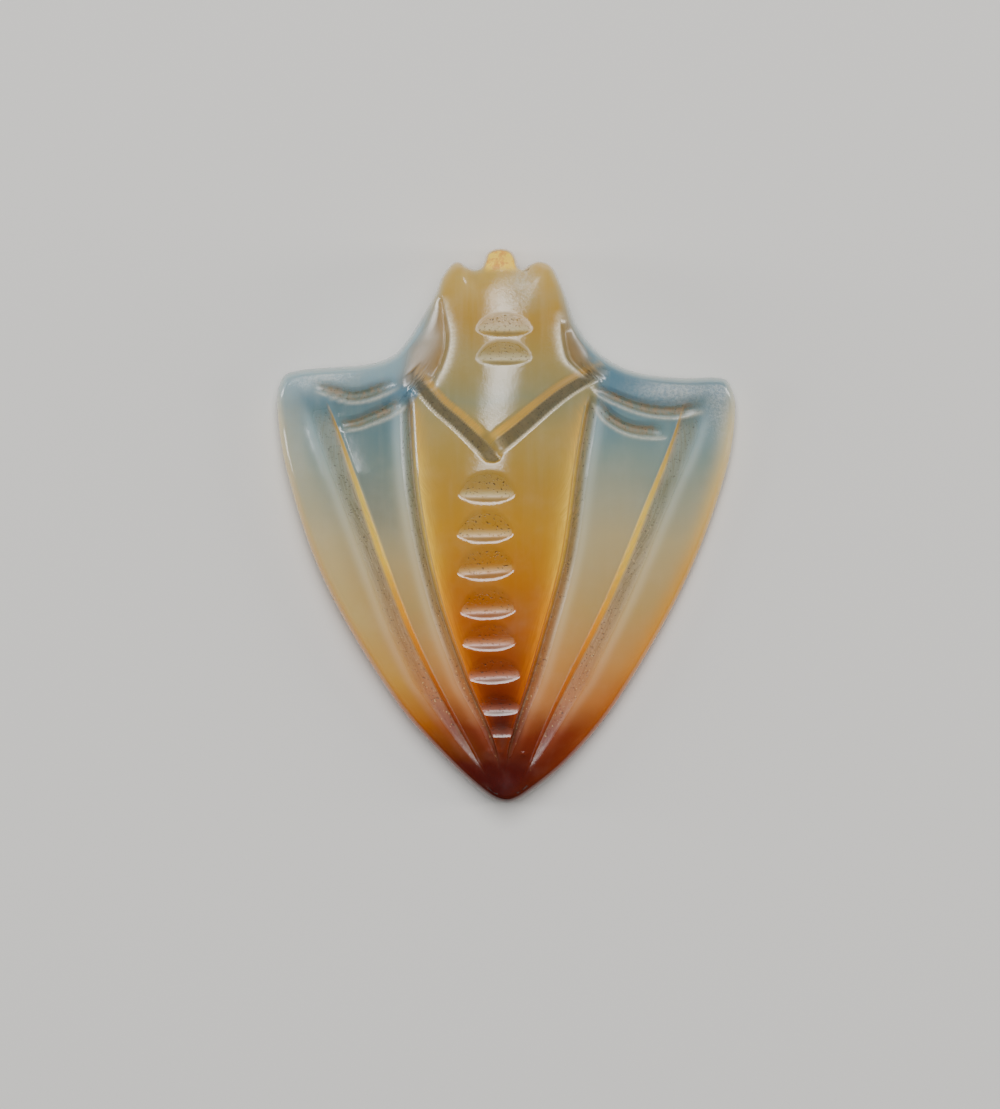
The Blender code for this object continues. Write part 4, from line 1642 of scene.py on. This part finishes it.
    def carved(self, nodes: Nodes, here: Readings, colour: Socket) -> Socket:
        """Colours of the ground cuts and the nub, with painted highlights, glow, sheen and shade.

        Args:
            nodes: The material's nodes.
            here: The readings.
            colour: The colour so far.

        Returns:
            The colour.
        """
        streaks = nodes.sloped(nodes.stretch(here.streaks, *self.ground_range), *self.ground_streaks)
        ground = nodes.product(streaks, nodes.attribute("ground"))
        colour = nodes.mix(ground, colour, nodes.ramp(here.along, self.ground_colours))
        colour = self.over(nodes, here, colour, self.ridge)
        colour = self.over(nodes, here, colour, self.edge)
        # painted glow on the walls, streaked along them
        streaks = nodes.sloped(nodes.stretch(here.streaks, *self.glow_range), *self.glow_streaks)
        lit = nodes.math("MULTIPLY", nodes.attribute("wall"), streaks, clamp=True)
        colour = nodes.mix(lit, colour, nodes.ramp(here.along, self.glow_colours))
        colour = self.over(nodes, here, colour, self.valley_sheen)
        flecks = nodes.pattern(here.where, self.nub_flecks)
        nub = nodes.mix(flecks, linear(*self.nub), linear(*self.nub_dark))
        colour = nodes.mix(nodes.product(nodes.attribute("nub"), self.nub_share), colour, nub)
        return self.tinted(nodes, colour, self.seam)

    def worn(self, nodes: Nodes, here: Readings, colour: Socket) -> Socket:
        """Frost with a painted sheen and painted glints on the worn edges, then dirt, pits and painted
        sparkle in the cuts.

        Args:
            nodes: The material's nodes.
            here: The readings.
            colour: The colour so far.

        Returns:
            The colour.
        """
        grain = nodes.pattern(here.where, self.grain)
        dirty = nodes.product(nodes.pattern(here.where, self.dirt_patches), self.dirt_share)
        specks = nodes.product(nodes.pattern(here.where, self.pit_specks), self.pit_share)
        for mark, amount, tint in (
                ("frost_and_sheen", nodes.sloped(grain, *self.frost_and_sheen_grain), self.worn_sheen),
                ("glint", nodes.sloped(grain, *self.glint_grain), self.glinting),
                ("dirt", dirty, self.dirt), ("pitted", specks, self.pit)):
            colour = nodes.mix(nodes.product(nodes.attribute(mark), amount), colour, linear(*tint))
        # painted sparkle in the ground cuts below the middle of the length
        shifted = nodes.vector("ADD", here.where, self.spark_shift)
        lower = nodes.math("SUBTRACT", self.spark_until, here.share)
        warm = nodes.math("MULTIPLY", nodes.attribute("ground"), lower, clamp=True)
        sparks = nodes.product(nodes.pattern(shifted, self.sparks), warm)
        return nodes.mix(sparks, colour, linear(*self.sparkle))

    def over(self, nodes: Nodes, here: Readings, colour: Socket, ramp: Ramp) -> Socket:
        """Lay the colours of a ramp over a colour where its mark is."""
        factor = nodes.product(nodes.attribute(ramp.mark), ramp.share)
        return nodes.mix(factor, colour, nodes.ramp(here.along, ramp.stops))

    def tinted(self, nodes: Nodes, colour: Socket, tint: Tint) -> Socket:
        """Lay a tint over a colour where its mark is."""
        return nodes.mix(nodes.product(nodes.attribute(tint.mark), tint.share), colour, linear(*tint.colour))

    def roughness(self, nodes: Nodes, here: Readings) -> Socket:
        """Roughness: low on the polish, higher where worn or ground.

        Args:
            nodes: The material's nodes.
            here: The readings.

        Returns:
            The roughness.
        """
        rough = nodes.sloped(nodes.noise(here.where, *self.smears), self.smear_share, self.polish)
        for mark, more in self.rougher:
            rough = nodes.math("ADD", rough, nodes.product(nodes.attribute(mark), more))
        return rough

    def bump(self, nodes: Nodes, here: Readings) -> Socket:
        """Fine relief: waves in the polish, frost where worn, pits and streaks in the cuts.

        Args:
            nodes: The material's nodes.
            here: The readings.

        Returns:
            The bumped direction of the surface.
        """
        pit_share, lane_share, frost_share, satin_share, wave_share = self.bump_shares
        pits = nodes.product(nodes.pattern(here.where, self.bump_pits), nodes.attribute("pitted"), pit_share)
        walls = nodes.math("MAXIMUM", nodes.attribute("ground"), nodes.attribute("wall"))
        lanes = nodes.product(here.streaks, walls, lane_share)
        broad = nodes.math("ADD", nodes.product(nodes.attribute("frost_and_sheen"), frost_share),
                           nodes.product(nodes.attribute("satin"), satin_share))
        grain = nodes.pattern(here.where, self.grain)
        frost_and_sheen = nodes.product(grain, nodes.math("ADD", broad, nodes.attribute("nub")))
        waves = nodes.product(nodes.noise(here.where, *self.bump_waves), wave_share)
        height = nodes.math("SUBTRACT", nodes.math("ADD", waves, frost_and_sheen), pits)
        node = nodes.add("ShaderNodeBump")
        for name, value in (("Strength", self.bump_strength), ("Distance", self.bump_distance),
                            ("Height", nodes.math("ADD", height, lanes))):
            nodes.put(node.inputs[name], value)
        return node.outputs["Normal"]


@dataclass(frozen=True)
class Lamp:
    """One soft light: where it hangs, its two sides, its power and its tint."""

    name: str
    place: tuple[float, float, float]
    size: tuple[float, float]
    power: float
    tint: tuple[float, float, float] = (1.0, 1.0, 1.0)

    def hang(self, target: Vector) -> bpy.types.Object:
        """Add the light, turned towards the target.

        Args:
            target: Point that the light faces.

        Returns:
            The light's object.
        """
        light = bpy.data.lights.new(self.name, "AREA")
        light.shape = "RECTANGLE"
        light.size, light.size_y = self.size
        light.energy = self.power
        light.color = self.tint
        lamp = bpy.data.objects.new(self.name, light)
        lamp.location = self.place
        lamp.rotation_euler = (target - Vector(self.place)).to_track_quat("-Z", "Y").to_euler()
        bpy.context.collection.objects.link(lamp)
        return lamp


@dataclass
class Studio:
    """Pale floor, soft lights and the camera above the stone."""

    body: Body
    picture: tuple[int, int] = (1000, 1109)
    stone_pixels: float = 553.0
    centre_pixels: tuple[float, float] = (506.25, 526.5)
    focal: float = 150.0
    film: float = 24.0
    floor_size: float = 1.2
    floor_colour: Colour = (214, 212, 208)
    floor_roughness: float = 0.7
    floor_gap: float = 0.00002
    room_colour: tuple[float, float, float, float] = (0.9, 0.93, 1.0, 1.0)
    room_strength: float = 0.06
    rim_level: float = 0.15
    lamps: tuple[Lamp, ...] = (
        Lamp("overhead_softbox", (0.0, 0.215, 0.62), (0.28, 0.61), 5.6),
        Lamp("left_strip", (-0.5, 0.04, 0.08), (0.1, 0.5), 1.7, (0.97, 0.99, 1.0)),
        Lamp("right_strip", (0.5, 0.02, 0.08), (0.1, 0.5), 1.7, (1.0, 0.96, 0.9)),
    )

    def build(self) -> None:
        """Add the floor, the lights, the world and the camera."""
        self.add_floor()
        target = Vector((0.0, 0.0, self.body.thickness / 2))
        for lamp in self.lamps:
            lamp.hang(target)
        self.add_world()
        self.add_camera()

    def add_floor(self) -> None:
        """Plain pale floor just under the stone."""
        half = self.floor_size / 2
        under = self.body.low[2] - self.floor_gap
        corners = half * np.array([(-1.0, -1.0, 0.0), (1.0, -1.0, 0.0), (1.0, 1.0, 0.0), (-1.0, 1.0, 0.0)])
        corners[:, 2] = under
        floor = new_piece("floor", corners, np.array([[0, 1, 2, 3]]), np.empty((0, 3)))
        material = bpy.data.materials.new("pale_floor")
        material.use_nodes = True
        shader = material.node_tree.nodes["Principled BSDF"]
        shader.inputs["Base Color"].default_value = linear(*self.floor_colour)
        shader.inputs["Roughness"].default_value = self.floor_roughness
        floor.data.materials.append(material)

    def add_world(self) -> None:
        """Even pale light from all around."""
        world = bpy.data.worlds.new("pale_room")
        world.use_nodes = True
        background = world.node_tree.nodes["Background"]
        background.inputs["Color"].default_value = self.room_colour
        background.inputs["Strength"].default_value = self.room_strength
        bpy.context.scene.world = world

    def add_camera(self) -> None:
        """Camera straight above, framed as the picture: its scale and its middle."""
        scale = self.body.length / self.stone_pixels
        middle_x = (self.picture[0] / 2 - self.centre_pixels[0]) * scale
        middle_y = (self.centre_pixels[1] - self.picture[1] / 2) * scale
        camera = bpy.data.cameras.new("camera")
        camera.sensor_fit = "VERTICAL"
        camera.sensor_height = self.film
        camera.lens = self.focal
        camera.clip_start = 0.01
        rim = self.rim_level * self.body.thickness
        distance = self.focal / self.film * self.picture[1] * scale
        eye = bpy.data.objects.new("camera", camera)
        eye.location = (middle_x, middle_y, rim + distance)
        bpy.context.collection.objects.link(eye)
        bpy.context.scene.camera = eye


def main() -> None:
    """Build the stone, dress it, and set up the studio."""
    logging.basicConfig(level=logging.INFO, format="%(name)s: %(message)s")
    body = Body.from_frame(STONE_NODE)
    stone = CarvedStone(body).build()
    stone.data.materials.append(Chalcedony().make(body))
    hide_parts(STONE_NODE)
    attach(stone, "root")
    LOG.info("%s: %d vertices, %d faces", stone.name, len(stone.data.vertices), len(stone.data.polygons))
    Studio(body).build()
    LOG.info("studio: floor, lights and camera")


if __name__ == "__main__":
    main()
